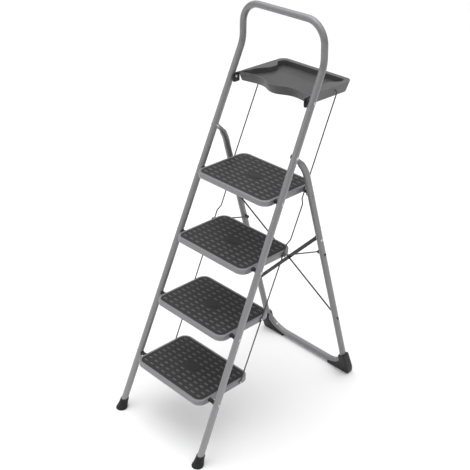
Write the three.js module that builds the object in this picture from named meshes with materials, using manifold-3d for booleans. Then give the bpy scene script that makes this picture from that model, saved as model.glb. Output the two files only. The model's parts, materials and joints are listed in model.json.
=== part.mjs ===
// A folding step stool with four treads, a tool tray over the top tread and a hoop handle.
// Millimetres, +Z up, the user climbs towards +Y. The floor is z = 0.
// While it is worked out, y = 0 is where the rails' centrelines meet the floor.
import * as THREE from "three";
import { mergeVertices } from "three/addons/utils/BufferGeometryUtils.js";
import Module from "manifold-3d";

const wasm = await Module();
wasm.setup();

// ---- fits -------------------------------------------------------------------------------------
const CLEARANCE = 0.3;
const PIN_CLEARANCE = 0.4;
const SOCKET_CLEARANCE = 0.5;

// ---- tube -------------------------------------------------------------------------------------
const TUBE_RADIUS = 12.5;
const TUBE_WALL = 1.5;
const TUBE_SIDES = 12;
const BEND_STEP = THREE.MathUtils.degToRad(11.25);
const HOLE_SIDES = 8;
const TURNED_SIDES = 12;

// ---- treads -----------------------------------------------------------------------------------
const STEP_COUNT = 4;
const STEP_RISE = 230;
const PIVOT_DROP = 10;
const PAN_FRONT_REACH = 52;
const PAN_DEPTH = 252;
const PAN_HEIGHT = 21.5;
const PAN_WALL = 1.6;
const PAN_CORNER_RADIUS = 35;
const PAN_EDGE_RADIUS = 4;
const PAN_RIM = 9;
const PAN_CORNER_STEPS = 4;
const MAT_THICKNESS = 2.6;
const TOP_SIDE_GAP = 11.8;

// ---- front frame: two leaning rails, a knee, and a hoop handle ---------------------------------
const RAIL_FOOT_HALF_WIDTH = 226.2;
const RAIL_TAPER = 0.0203;
const RAIL_LEAN = 0.46338;
const KNEE_ABOVE_TOP_STEP = 437.4;
const KNEE_RADIUS = 120;
const HANDLE_ABOVE_KNEE = 143.3;
const HANDLE_RADIUS = 80;
const FOOT_HEIGHT = 38;
const FOOT_FLOOR = 4;
const FOOT_BASE_RADIUS = 22.4;
const FOOT_COLLAR_RADIUS = 16.4;
const FOOT_SIDES = 20;

// ---- rear frame: a U of tube whose ends curve forward to the rails ----------------------------
const LEG_INSET = 3.8;
const LEG_TAPER = 0.0147;
const LEG_LEAN = 0.27592;
const LEG_SETBACK = 35.8;
const LEG_PIVOT_ABOVE_TOP_STEP = 140;
const REAR_BAR_HEIGHT = 18.6;
const REAR_CORNER_RADIUS = 97;
const NECK_CORNER_BELOW_PIVOT = 54.4;
const NECK_CORNER_INSET = 3;
const NECK_TURN_LENGTH = 55;
const NECK_RADIUS = 150;
const NECK_TUBE_END = 56;
const TONGUE_THICKNESS = 3.2;
const TONGUE_HALF_WIDTH = 8.5;
const TONGUE_LENGTH = 14;

// ---- rear shoes -------------------------------------------------------------------------------
const SHOE_INNER_REACH = 130;
const SHOE_TOE_REACH = 247;
const SHOE_TOE_RADIUS = 16;
const SHOE_TOE_HEIGHT = 32;
const SHOE_HEIGHT = 106;
const SHOE_COLLAR_SLOPE = 14;
const SHOE_MOUTH_HEIGHT = 60;
const SHOE_MOUTH_ANGLES = [-50, -82].map(THREE.MathUtils.degToRad);
const SHOE_HALF_DEPTH = 16.5;
const SHOE_EDGE = 5;
const SHOE_WALL = 4.6;

// ---- braces between the rear legs -------------------------------------------------------------
const BRACE_LOW = 310;
const BRACE_DROP_FROM_PIVOT = 375;
const ROD_BRACE_RADIUS = 3;
const ROD_BRACE_FORWARD = 2.6;
const ROD_BRACE_OVERHANG = 4.5;
const ROD_BRACE_START = 9;
const BAR_OFFSET_ALONG_LEG = 15;
const BAR_WIDTH = 14.5;
const BAR_THICKNESS = 3;
const BAR_BACK = 4;
const BAR_TAB_DEPTH = 12;
const BAR_RIVET_HEAD = 4;
const BAR_RIVET_THICKNESS = 1;

// ---- connecting rods, links and the pins that carry them ---------------------------------------
const LINK_SPAN = 148.9;
const ROD_RADIUS = 2.3;
const ROD_EYE_RADIUS = 6.5;
const ROD_SIDES = 8;
const ROD_BOW = 15.1;
const ROD_BOW_TOP = [34, 58];
const ROD_BOW_BOTTOM = [48, 36];
const ROD_TRAY_INSET = 3.2;
const ROD_HOOK_REACH = 17;
const PIN_RADIUS = 2.2;
const PIN_HEAD_RADIUS = 4;
const PIN_HEAD_THICKNESS = 1.4;
const LINK_RADIUS = 2.5;
const LINK_GAP = 1.2;
const LINK_EYE_RADIUS = 6.5;
const LINK_FOOT_DROP = 58;
const COLLAR_RADIUS = 7;

// ---- rivets, bushes, pegs and rests -----------------------------------------------------------
const RIVET_RADIUS = 3;
const RIVET_HEAD_RADIUS = 5.5;
const RIVET_HEAD_THICKNESS = 2.6;
const RIVET_HEAD = [RIVET_HEAD_RADIUS, RIVET_HEAD_THICKNESS];
const STEP_RIVET_HEAD = [RIVET_HEAD_RADIUS, 1.6];
const LEG_RIVET_HEAD = [5, 1.2];
const TRAY_RIVET_HEAD = [5, 2];
const DOME_SHARE = 0.6;
const BUSH_RADIUS = 8.5;
const BUSH_WAIST_RADIUS = 7.3;
const BUSH_LIP = 3;
const PEG_RADIUS = 5.5;
const PEG_LENGTH = 7.3;
const REST_THICKNESS = 5;
const REST_DEPTH = 21;
const REST_UPSTAND = 7;
const REST_UPSTAND_WIDTH = 5;
const REST_REACH = 9;

// ---- tray -------------------------------------------------------------------------------------
const TRAY_TOP_ABOVE_TOP_STEP = 333;
const TRAY_PIVOT_DROP = 16;
const TRAY_HEIGHT = 37;
const TRAY_SIDE_GAP = 14.2;
const TRAY_BACK_REACH = 245;
const TRAY_BACK_DRAFT = 15;
const TRAY_SIDE_DRAFT = 5;
const TRAY_FRONT_DRAFT = 13;
const TRAY_CORNER_RADIUS = 30;
const TRAY_WALL = 3;
const TRAY_LIP = 5;
const TRAY_EDGE = 1.5;
const TRAY_BACK_RIM = 20;
const TRAY_POCKET_DEPTH = 22;
const TRAY_WAVE_STEPS = 24;
const TRAY_CORNER_STEPS = 4;
const TRAY_SHELF_CORNERS = [
  [9, 34],
  [17, 47],
  [19, 75],
  [35, 105],
  [48, 127],
  [48, 163],
  [23, 191],
  [19, 202],
];
const TRAY_SHELF_BACK = 27;
const TRAY_FRONT_WAVE = [
  [0, -2],
  [24, 2],
  [62, 19],
  [96, 23.5],
  [132, 18.5],
];
const TRAY_FRONT_CORNER = 10;
const BRACKET_DEPTH = [15, 17];
const BRACKET_DROP = 22;
const BRACKET_RISE = 13;
const BRACKET_CORNER = 5;
const BRACKET_ROD_NOTCH = 9;

// ---- worked-out places ------------------------------------------------------------------------
const TOP_STEP_HEIGHT = STEP_RISE * STEP_COUNT;
const TOP_PIVOT_HEIGHT = TOP_STEP_HEIGHT - PIVOT_DROP;
const KNEE_HEIGHT = TOP_STEP_HEIGHT + KNEE_ABOVE_TOP_STEP;
const HANDLE_HEIGHT = KNEE_HEIGHT + HANDLE_ABOVE_KNEE;
const railX = (height) => RAIL_FOOT_HALF_WIDTH - RAIL_TAPER * height;
const railY = (height) => RAIL_LEAN * height;
const railInner = (height) => railX(height) - TUBE_RADIUS;
const PAN_HALF_WIDTH = railInner(TOP_PIVOT_HEIGHT) - TOP_SIDE_GAP;

const LEG_PIVOT_HEIGHT = TOP_STEP_HEIGHT + LEG_PIVOT_ABOVE_TOP_STEP;
const LEG_TILT = Math.atan(LEG_LEAN);
const LEG_PIVOT_Y = railY(LEG_PIVOT_HEIGHT);
const LEG_FLOOR_Y = LEG_PIVOT_Y + LEG_LEAN * LEG_PIVOT_HEIGHT + LEG_SETBACK / Math.cos(LEG_TILT);
const LEG_FOOT_HALF_WIDTH = RAIL_FOOT_HALF_WIDTH - LEG_INSET;
// Along the legs: u runs up the plane of the two legs from the floor.
const legX = (along) => LEG_FOOT_HALF_WIDTH - LEG_TAPER * along;
const alongLeg = (height) => height / Math.cos(LEG_TILT);
const legY = (height) => LEG_FLOOR_Y - LEG_LEAN * height;
const LEG_PIVOT_ALONG =
  LEG_PIVOT_HEIGHT * Math.cos(LEG_TILT) + (LEG_FLOOR_Y - LEG_PIVOT_Y) * Math.sin(LEG_TILT);
const TONGUE_INNER = railInner(LEG_PIVOT_HEIGHT) - CLEARANCE - TONGUE_THICKNESS;

const TRAY_TOP_HEIGHT = TOP_STEP_HEIGHT + TRAY_TOP_ABOVE_TOP_STEP;
const TRAY_PIVOT_HEIGHT = TRAY_TOP_HEIGHT - TRAY_PIVOT_DROP;
const TRAY_HALF_WIDTH = railInner(TRAY_PIVOT_HEIGHT) - TRAY_SIDE_GAP;

const ROD_X = PAN_HALF_WIDTH + PIN_CLEARANCE + ROD_RADIUS;
const ROD_TRAY_X = ROD_X - ROD_TRAY_INSET;
const LINK_X = ROD_X + ROD_RADIUS + LINK_GAP + LINK_RADIUS;
const LINK_STEP = STEP_COUNT - 2;
const LINK_TOP_HEIGHT = STEP_RISE * (LINK_STEP + 1) - PIVOT_DROP;
const LINK_FOOT_HEIGHT = LINK_TOP_HEIGHT - LINK_FOOT_DROP;

const PEG_HEIGHT = TOP_STEP_HEIGHT - PAN_HEIGHT - CLEARANCE * 2 - REST_THICKNESS - PEG_RADIUS;
const FRONT_EDGE_Y = -FOOT_BASE_RADIUS;
const REAR_EDGE_Y = LEG_FLOOR_Y + SHOE_HALF_DEPTH / Math.cos(LEG_TILT);
const CENTRE_Y = (FRONT_EDGE_Y + REAR_EDGE_Y) / 2;

const SIDES = [
  { name: "left", sign: -1 },
  { name: "right", sign: 1 },
];

// ---- materials --------------------------------------------------------------------------------
const finish = (color, roughness, metalness) => () =>
  new THREE.MeshStandardMaterial({ color, roughness, metalness });
const silverEnamel = finish(0x9d9ca0, 0.42, 0.55);
const zincWire = finish(0x8f8f92, 0.35, 0.85);
const rivetSteel = finish(0xb4b4b6, 0.3, 0.9);
const blackPlastic = finish(0x2b2b2d, 0.62, 0.0);
const greyTread = finish(0x3a3a3c, 0.8, 0.0);
const trayPlastic = finish(0x4a4a4b, 0.55, 0.0);
const darkSteel = finish(0x3d3d3f, 0.45, 0.6);

// ---- solids -----------------------------------------------------------------------------------

/** A three.js geometry as a solid that can be cut and joined. */
function toSolid(geometry) {
  const bare = geometry.index ? geometry.toNonIndexed() : geometry.clone();
  bare.deleteAttribute("normal");
  bare.deleteAttribute("uv");
  const merged = mergeVertices(bare, 1e-4);
  return new wasm.Manifold(
    new wasm.Mesh({
      numProp: 3,
      vertProperties: merged.attributes.position.array,
      triVerts: new Uint32Array(merged.index.array),
    }),
  );
}

/** A cut or joined solid back as a three.js geometry. */
function toGeometry(solid) {
  const mesh = solid.getMesh();
  const indexed = new THREE.BufferGeometry();
  indexed.setAttribute("position", new THREE.BufferAttribute(mesh.vertProperties, 3));
  indexed.setIndex(new THREE.BufferAttribute(mesh.triVerts, 1));
  const geometry = indexed.toNonIndexed();
  geometry.computeVertexNormals();
  return geometry;
}

/** A geometry with every cutter taken out of it. */
function cut(geometry, cutters) {
  return toGeometry(cutters.reduce((body, cutter) => body.subtract(toSolid(cutter)), toSolid(geometry)));
}

/** Several geometries as one solid. */
function join(geometries) {
  return toGeometry(geometries.map(toSolid).reduce((body, other) => body.add(other)));
}

/** Rings with the same number of points, skinned into one closed solid with flat ends. */
function skin(rings) {
  const count = rings[0].length;
  const points = rings.flat();
  const triangles = [];
  for (let ring = 0; ring < rings.length - 1; ring++) {
    for (let i = 0; i < count; i++) {
      const a = ring * count + i;
      const b = ring * count + ((i + 1) % count);
      triangles.push(a, b, b + count, a, b + count, a + count);
    }
  }
  const last = (rings.length - 1) * count;
  capTriangles(rings[0]).forEach(([a, b, c]) => triangles.push(a, c, b));
  const end = rings[rings.length - 1];
  capTriangles(end).forEach(([a, b, c]) => triangles.push(last + a, last + b, last + c));
  const geometry = new THREE.BufferGeometry().setFromPoints(points);
  geometry.setIndex(triangles);
  const flat = geometry.toNonIndexed();
  flat.computeVertexNormals();
  return flat;
}

/** The triangles of a flat ring, seen against the ring's own turning direction. */
function capTriangles(ring) {
  const normal = new THREE.Vector3();
  ring.forEach((point, i) => {
    const next = ring[(i + 1) % ring.length];
    normal.x += (point.y - next.y) * (point.z + next.z);
    normal.y += (point.z - next.z) * (point.x + next.x);
    normal.z += (point.x - next.x) * (point.y + next.y);
  });
  const turn = new THREE.Quaternion().setFromUnitVectors(normal.normalize(), new THREE.Vector3(0, 0, 1));
  const flat = ring.map((point) => point.clone().applyQuaternion(turn));
  return THREE.ShapeUtils.triangulateShape(flat.map((point) => new THREE.Vector2(point.x, point.y)), []);
}

/** A route of straight runs joined by round bends, with a station only where it turns. */
class BentRoute extends THREE.Curve {
  constructor(corners, radii) {
    super();
    this.stations = [];
    const last = corners.length - 1;
    this.addStation(corners[0], corners[1].clone().sub(corners[0]));
    for (let i = 1; i < last; i++) {
      this.addBend(corners[i - 1], corners[i], corners[i + 1], radii[i - 1]);
    }
    this.addStation(corners[last], corners[last].clone().sub(corners[last - 1]));
  }

  addStation(point, direction) {
    this.stations.push({ point: point.clone(), tangent: direction.clone().normalize() });
  }

  addBend(before, corner, after, radius) {
    const back = before.clone().sub(corner).normalize();
    const ahead = after.clone().sub(corner).normalize();
    const turn = Math.PI - back.angleTo(ahead);
    const start = corner.clone().addScaledVector(back, radius * Math.tan(turn / 2));
    const middle = back.clone().add(ahead).normalize();
    const centre = corner.clone().addScaledVector(middle, radius / Math.cos(turn / 2));
    const spoke = start.clone().sub(centre).divideScalar(radius);
    const travel = back.clone().negate();
    const steps = Math.max(1, Math.ceil(turn / BEND_STEP - 0.01));
    for (let k = 0; k <= steps; k++) {
      const angle = (turn * k) / steps;
      const point = centre.clone();
      point.addScaledVector(spoke, radius * Math.cos(angle));
      point.addScaledVector(travel, radius * Math.sin(angle));
      const tangent = travel.clone().multiplyScalar(Math.cos(angle));
      tangent.addScaledVector(spoke, -Math.sin(angle));
      this.addStation(point, tangent);
    }
  }

  /** Shortens the route by a distance at each end. */
  trimmed(distance) {
    const route = Object.create(BentRoute.prototype, Object.getOwnPropertyDescriptors(this));
    route.stations = trimStart(trimStart(this.stations, distance).reverse(), distance).reverse();
    return route;
  }

  getPoint(t) {
    const place = t * (this.stations.length - 1);
    const index = Math.min(Math.floor(place), this.stations.length - 2);
    return this.stations[index].point.clone().lerp(this.stations[index + 1].point, place - index);
  }

  getPointAt(t) {
    return this.getPoint(t);
  }

  getTangentAt(t) {
    return this.stations[Math.round(t * (this.stations.length - 1))].tangent.clone();
  }

  /** The point and direction at a distance from the start. */
  atDistance(distance) {
    return trimStart(this.stations, distance)[0];
  }
}

/** Stations with the first part of the route taken off. */
function trimStart(stations, distance) {
  let left = distance;
  let index = 0;
  while (stations[index].point.distanceTo(stations[index + 1].point) < left) {
    left -= stations[index].point.distanceTo(stations[index + 1].point);
    index++;
  }
  const from = stations[index];
  const to = stations[index + 1];
  const share = left / from.point.distanceTo(to.point);
  const first = {
    point: from.point.clone().lerp(to.point, share),
    tangent: from.tangent.clone().lerp(to.tangent, share).normalize(),
  };
  return [first, ...stations.slice(index + 1)];
}

/** A round section, hollow when it has a bore. */
function roundSection(radius, bore) {
  const shape = new THREE.Shape().absarc(0, 0, radius, 0, Math.PI * 2, false);
  if (bore > 0) {
    shape.holes.push(new THREE.Path().absarc(0, 0, bore, 0, Math.PI * 2, true));
  }
  return shape;
}

/** A round bar or tube along a route. */
function tubeAlong(route, radius, bore, sides) {
  return new THREE.ExtrudeGeometry(roundSection(radius, bore), {
    steps: route.stations.length - 1,
    curveSegments: sides / 2,
    extrudePath: route,
  });
}

/** A turned piece along +X from a list of [place, radius]. */
function turnedAlongX(profile, sides) {
  const first = profile[0][0];
  const last = profile[profile.length - 1][0];
  const closed = [[first, 0], ...profile, [last, 0]];
  const points = closed.map(([place, radius]) => new THREE.Vector2(radius, place));
  return new THREE.LatheGeometry(points, sides).rotateZ(-Math.PI / 2);
}

/** A round cutter along X between two places. */
function holeAlongX(from, to, radius, y, z) {
  return discAlongX(from, to, radius, y, z, HOLE_SIDES);
}

/** A cylinder along X between two places. */
function discAlongX(from, to, radius, y, z, sides) {
  const length = Math.abs(to - from);
  const disc = new THREE.CylinderGeometry(radius, radius, length, sides).rotateZ(Math.PI / 2);
  return disc.translate((from + to) / 2, y, z);
}

/** A box between two corners. */
function block(low, high) {
  const size = high.clone().sub(low);
  const middle = high.clone().add(low).multiplyScalar(0.5);
  return new THREE.BoxGeometry(size.x, size.y, size.z).translate(middle.x, middle.y, middle.z);
}

/** A named mesh at a place in its group. */
function piece(group, name, geometry, material, x = 0, y = 0, z = 0) {
  const mesh = new THREE.Mesh(geometry, material());
  mesh.name = name;
  mesh.position.set(x, y, z);
  group.add(mesh);
  return mesh;
}

/** Turns an axially symmetric piece made for the right side so that it serves either side. */
function facing(mesh, sign) {
  mesh.rotation.z = sign > 0 ? 0 : Math.PI;
  return mesh;
}

// ---- front frame ------------------------------------------------------------------------------

function railCorners() {
  const onRail = (sign, height, y) => new THREE.Vector3(sign * railX(height), y, height);
  const kneeY = railY(KNEE_HEIGHT);
  const start = FOOT_FLOOR + CLEARANCE + TUBE_RADIUS * RAIL_LEAN;
  return [
    onRail(-1, start, railY(start)),
    onRail(-1, KNEE_HEIGHT, kneeY),
    onRail(-1, HANDLE_HEIGHT, kneeY),
    onRail(1, HANDLE_HEIGHT, kneeY),
    onRail(1, KNEE_HEIGHT, kneeY),
    onRail(1, start, railY(start)),
  ];
}

function frontFrame() {
  const route = new BentRoute(railCorners(), [KNEE_RADIUS, HANDLE_RADIUS, HANDLE_RADIUS, KNEE_RADIUS]);
  const tube = tubeAlong(route, TUBE_RADIUS, TUBE_RADIUS - TUBE_WALL, TUBE_SIDES);
  const heights = stepNumbers().map((number) => stepPivotHeight(number));
  heights.push(LEG_PIVOT_HEIGHT, TRAY_PIVOT_HEIGHT);
  const holes = heights.flatMap((height) =>
    SIDES.map(({ sign }) => rivetHole(sign * railX(height), railY(height), height)),
  );
  return cut(tube, holes);
}

/** A rivet's hole through both walls of a tube. */
function rivetHole(x, y, z) {
  const reach = TUBE_RADIUS * 2;
  return holeAlongX(x - reach, x + reach, RIVET_RADIUS + CLEARANCE, y, z);
}

function footRing(height, radius) {
  return Array.from({ length: FOOT_SIDES }, (_, i) => {
    const angle = (i * 2 * Math.PI) / FOOT_SIDES;
    const x = radius * Math.cos(angle) - RAIL_TAPER * height;
    return new THREE.Vector3(x, radius * Math.sin(angle) + railY(height), height);
  });
}

/** A flared rubber foot round the lower end of the right rail; its origin is on the floor. */
function frontFoot() {
  const middle = FOOT_HEIGHT / 2;
  const base = footRing(0, FOOT_BASE_RADIUS);
  const skirt = base.map((point) => point.clone().setZ(FOOT_FLOOR));
  const bell = skin([
    base,
    skirt,
    footRing(middle / 2, FOOT_BASE_RADIUS - 3.4),
    footRing(middle, FOOT_COLLAR_RADIUS + 1),
    footRing(FOOT_HEIGHT, FOOT_COLLAR_RADIUS),
  ]);
  const socket = new BentRoute(
    [
      new THREE.Vector3(-RAIL_TAPER * FOOT_FLOOR, railY(FOOT_FLOOR), FOOT_FLOOR),
      new THREE.Vector3(-RAIL_TAPER * FOOT_HEIGHT * 2, railY(FOOT_HEIGHT * 2), FOOT_HEIGHT * 2),
    ],
    [],
  );
  const bore = tubeAlong(socket, TUBE_RADIUS + SOCKET_CLEARANCE, 0, TUBE_SIDES);
  const spread = FOOT_BASE_RADIUS * 4;
  const keepFloor = block(
    new THREE.Vector3(-spread, -spread, -spread),
    new THREE.Vector3(spread, spread, FOOT_FLOOR),
  );
  return toGeometry(toSolid(bell).subtract(toSolid(bore).subtract(toSolid(keepFloor))));
}

// ---- treads -----------------------------------------------------------------------------------

/** Tread numbers from 1, the top tread, down. */
function stepNumbers() {
  return Array.from({ length: STEP_COUNT }, (_, i) => i + 1);
}

function stepPivotHeight(number) {
  return STEP_RISE * (STEP_COUNT + 1 - number) - PIVOT_DROP;
}

/** A tread's outline drawn in by an inset, at a height under the tread's top face. */
function treadRing(inset, depth) {
  const halfWidth = PAN_HALF_WIDTH - inset;
  const front = -PAN_FRONT_REACH + inset;
  const back = PAN_DEPTH - PAN_FRONT_REACH - inset;
  const radius = PAN_CORNER_RADIUS - inset;
  const corners = [
    [halfWidth - radius, back - radius],
    [-halfWidth + radius, back - radius],
    [-halfWidth + radius, front + radius],
    [halfWidth - radius, front + radius],
  ];
  return corners.flatMap(([x, y], quarter) =>
    Array.from({ length: PAN_CORNER_STEPS + 1 }, (_, k) => {
      const angle = ((quarter + k / PAN_CORNER_STEPS) * Math.PI) / 2;
      const px = x + radius * Math.cos(angle);
      return new THREE.Vector3(px, y + radius * Math.sin(angle), PIVOT_DROP - depth);
    }),
  );
}

/** A pressed pan: a rolled rim round a sunk floor, with a skirt; its origin is its front pivot. */
function stepPan() {
  const sunk = MAT_THICKNESS + CLEARANCE;
  const bevel = PAN_EDGE_RADIUS * (1 - Math.SQRT1_2);
  const pan = skin([
    treadRing(PAN_WALL, sunk + PAN_WALL),
    treadRing(PAN_WALL, PAN_HEIGHT),
    treadRing(0, PAN_HEIGHT),
    treadRing(0, PAN_EDGE_RADIUS),
    treadRing(bevel, bevel),
    treadRing(PAN_EDGE_RADIUS, 0),
    treadRing(PAN_RIM, 0),
    treadRing(PAN_RIM, sunk),
  ]);
  const holes = SIDES.flatMap(({ sign }) => {
    const from = sign * (PAN_HALF_WIDTH - PAN_WALL * 3);
    const to = sign * (PAN_HALF_WIDTH + PAN_WALL);
    return [
      holeAlongX(from, to, RIVET_RADIUS + CLEARANCE, 0, 0),
      holeAlongX(from, to, PIN_RADIUS + CLEARANCE, LINK_SPAN, 0),
    ];
  });
  return cut(pan, holes);
}

/** A tread's mat, seated in the pan with its face level with the rim. */
function stepMat() {
  const inset = PAN_RIM + CLEARANCE;
  return skin([treadRing(inset, MAT_THICKNESS), treadRing(inset, 0)]);
}

/** A spacer between a pan and a rail, with a ring at each end; its origin is the pan's side. */
function stepBush(length) {
  const outer = turnedAlongX(
    [
      [0, BUSH_RADIUS],
      [BUSH_LIP, BUSH_RADIUS],
      [BUSH_LIP, BUSH_WAIST_RADIUS],
      [length - BUSH_LIP, BUSH_WAIST_RADIUS],
      [length - BUSH_LIP, BUSH_RADIUS],
      [length, BUSH_RADIUS],
    ],
    TURNED_SIDES,
  );
  return cut(outer, [holeAlongX(-1, length + 1, RIVET_RADIUS + CLEARANCE, 0, 0)]);
}

/** A rivet along X, with a flat head at its start and a domed one at its end: [radius, thickness]. */
function rivet(length, radius, [flatRadius, flatThickness], [domeRadius, domeThickness] = RIVET_HEAD) {
  return turnedAlongX(
    [
      [-flatThickness, flatRadius],
      [0, flatRadius],
      [0, radius],
      [length, radius],
      [length, domeRadius],
      [length + domeThickness, domeRadius * DOME_SHARE],
    ],
    HOLE_SIDES,
  );
}

/** The pin at a tread's rear pivot, through the skirt and the connecting rod's eye. */
function rodPin() {
  const start = PAN_HALF_WIDTH - PAN_WALL - CLEARANCE;
  const length = rodEyeOutside() + CLEARANCE - start;
  const head = [PIN_HEAD_RADIUS, PIN_HEAD_THICKNESS];
  return rivet(length, PIN_RADIUS, head, head).translate(start, 0, 0);
}

/** The block under the top tread that comes down on a peg of the rear frame. */
function topStepRest() {
  const top = PIVOT_DROP - PAN_HEIGHT - CLEARANCE;
  const middle = legY(PEG_HEIGHT) - railY(TOP_PIVOT_HEIGHT);
  const inside = PAN_HALF_WIDTH - PAN_WALL - CLEARANCE * 3;
  const behindRod = LINK_SPAN + RAIL_LEAN * top + ROD_RADIUS * 1.1 + CLEARANCE * 2;
  const front = Math.max(middle - REST_DEPTH / 3, behindRod);
  const back = middle + (REST_DEPTH * 2) / 3;
  const upstandTop = top + Math.min(REST_UPSTAND, PAN_HEIGHT - PIVOT_DROP - PIN_HEAD_RADIUS - CLEARANCE);
  const pad = block(
    new THREE.Vector3(inside - REST_UPSTAND_WIDTH, front, top - REST_THICKNESS),
    new THREE.Vector3(PAN_HALF_WIDTH + REST_REACH, back, top),
  );
  const upstand = block(
    new THREE.Vector3(inside - REST_UPSTAND_WIDTH, front, top - REST_THICKNESS / 2),
    new THREE.Vector3(inside, back, upstandTop),
  );
  return join([pad, upstand]);
}

// ---- connecting rods and links ----------------------------------------------------------------

/** One wire that ties every tread's rear pivot to the tray; its origin is the link tread's rear pivot. */
function connectingRod(sign) {
  const heightOf = (number) => stepPivotHeight(number) - LINK_TOP_HEIGHT;
  const bowTop = heightOf(1);
  const place = (height, bow, x) => new THREE.Vector3(sign * x, railY(height) + bow, height);
  const tray = TRAY_PIVOT_HEIGHT - LINK_TOP_HEIGHT;
  const lean = (height) => ROD_X - (ROD_TRAY_INSET * (height - bowTop)) / (tray - bowTop);
  const corners = [
    place(tray, 0, ROD_TRAY_X - ROD_HOOK_REACH),
    place(tray, 0, ROD_TRAY_X),
    place(bowTop, 0, lean(bowTop)),
    place(bowTop - ROD_BOW_TOP[0], 0, ROD_X),
    place(bowTop - ROD_BOW_TOP[1], ROD_BOW, ROD_X),
    place(ROD_BOW_BOTTOM[0], ROD_BOW, ROD_X),
    place(ROD_BOW_BOTTOM[1], 0, ROD_X),
    place(heightOf(STEP_COUNT), 0, ROD_X),
  ];
  const bends = corners.slice(2).map(() => ROD_RADIUS * 4);
  const wire = tubeAlong(new BentRoute(corners, bends), ROD_RADIUS, 0, ROD_SIDES);
  const eyes = stepNumbers().map((number) => {
    const height = heightOf(number);
    return discAlongX(
      sign * (ROD_X - ROD_RADIUS),
      sign * rodEyeOutside(),
      ROD_EYE_RADIUS,
      railY(height),
      height,
      TURNED_SIDES,
    );
  });
  const holes = stepNumbers().map((number) => {
    const height = heightOf(number);
    const reach = ROD_EYE_RADIUS;
    return holeAlongX(
      sign * (ROD_X - reach),
      sign * (ROD_X + reach),
      PIN_RADIUS + CLEARANCE,
      railY(height),
      height,
    );
  });
  const seats = stepNumbers().map((number) => {
    const height = heightOf(number);
    return discAlongX(
      sign * rodEyeOutside(),
      sign * (ROD_X + ROD_EYE_RADIUS),
      PIN_HEAD_RADIUS + PIN_CLEARANCE,
      railY(height),
      height,
      TURNED_SIDES,
    );
  });
  return cut(join([wire, ...eyes]), [...seats, ...holes]);
}

/** The outer face of a rod's flattened eye, sunk so that the pin's head stays inside the wire's width. */
function rodEyeOutside() {
  return ROD_X + ROD_RADIUS - PIN_HEAD_THICKNESS - PIN_CLEARANCE;
}

/** The place of a link's lower eye, seen from its upper one. */
function linkFoot() {
  const topY = railY(LINK_TOP_HEIGHT) + LINK_SPAN;
  return new THREE.Vector3(0, legY(LINK_FOOT_HEIGHT) - topY, -LINK_FOOT_DROP);
}

/** A wire with an eye at each end, from a tread's rear pivot back to the rear leg. */
function stepLink() {
  const foot = linkFoot();
  const wire = tubeAlong(new BentRoute([new THREE.Vector3(), foot], []), LINK_RADIUS, 0, ROD_SIDES);
  const ends = [new THREE.Vector3(), foot];
  const eyes = ends.map(({ y, z }) =>
    discAlongX(-LINK_RADIUS, LINK_RADIUS, LINK_EYE_RADIUS, y, z, TURNED_SIDES),
  );
  const bore = PIN_RADIUS + CLEARANCE;
  const holes = ends.map(({ y, z }) => holeAlongX(-LINK_EYE_RADIUS, LINK_EYE_RADIUS, bore, y, z));
  return cut(join([wire, ...eyes]), holes);
}

// ---- rear frame, drawn in the plane of its legs: x across, y up the legs, z forward -------------

function rearRoute() {
  const tongueX = TONGUE_INNER + TONGUE_THICKNESS / 2;
  const neck = LEG_PIVOT_ALONG - NECK_CORNER_BELOW_PIVOT;
  const half = (sign) => [
    new THREE.Vector3(sign * tongueX, LEG_PIVOT_ALONG, LEG_SETBACK),
    new THREE.Vector3(sign * (legX(neck) - NECK_CORNER_INSET), neck, 0),
    new THREE.Vector3(sign * legX(neck - NECK_TURN_LENGTH), neck - NECK_TURN_LENGTH, 0),
    new THREE.Vector3(sign * legX(REAR_BAR_HEIGHT), REAR_BAR_HEIGHT, 0),
  ];
  const corners = [...half(-1), ...half(1).reverse()];
  const radii = [NECK_RADIUS, NECK_TURN_LENGTH, REAR_CORNER_RADIUS];
  return new BentRoute(corners, [...radii, ...radii.reverse()]);
}

/** An oval ring across the neck: [distance from the pivot, half thickness, half width, x]. */
function neckRing(route, sign, [distance, halfThickness, halfWidth, centreX]) {
  const { point, tangent } = route.atDistance(distance);
  const centre = new THREE.Vector3(sign * (centreX ?? Math.abs(point.x)), point.y, point.z);
  const across = new THREE.Vector3(1, 0, 0);
  const up = new THREE.Vector3(0, tangent.y, tangent.z).normalize().cross(across);
  return Array.from({ length: TUBE_SIDES }, (_, i) => {
    const angle = (i * 2 * Math.PI) / TUBE_SIDES;
    const ring = centre.clone().addScaledVector(across, halfThickness * Math.cos(angle));
    return ring.addScaledVector(up, halfWidth * Math.sin(angle));
  });
}

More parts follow.
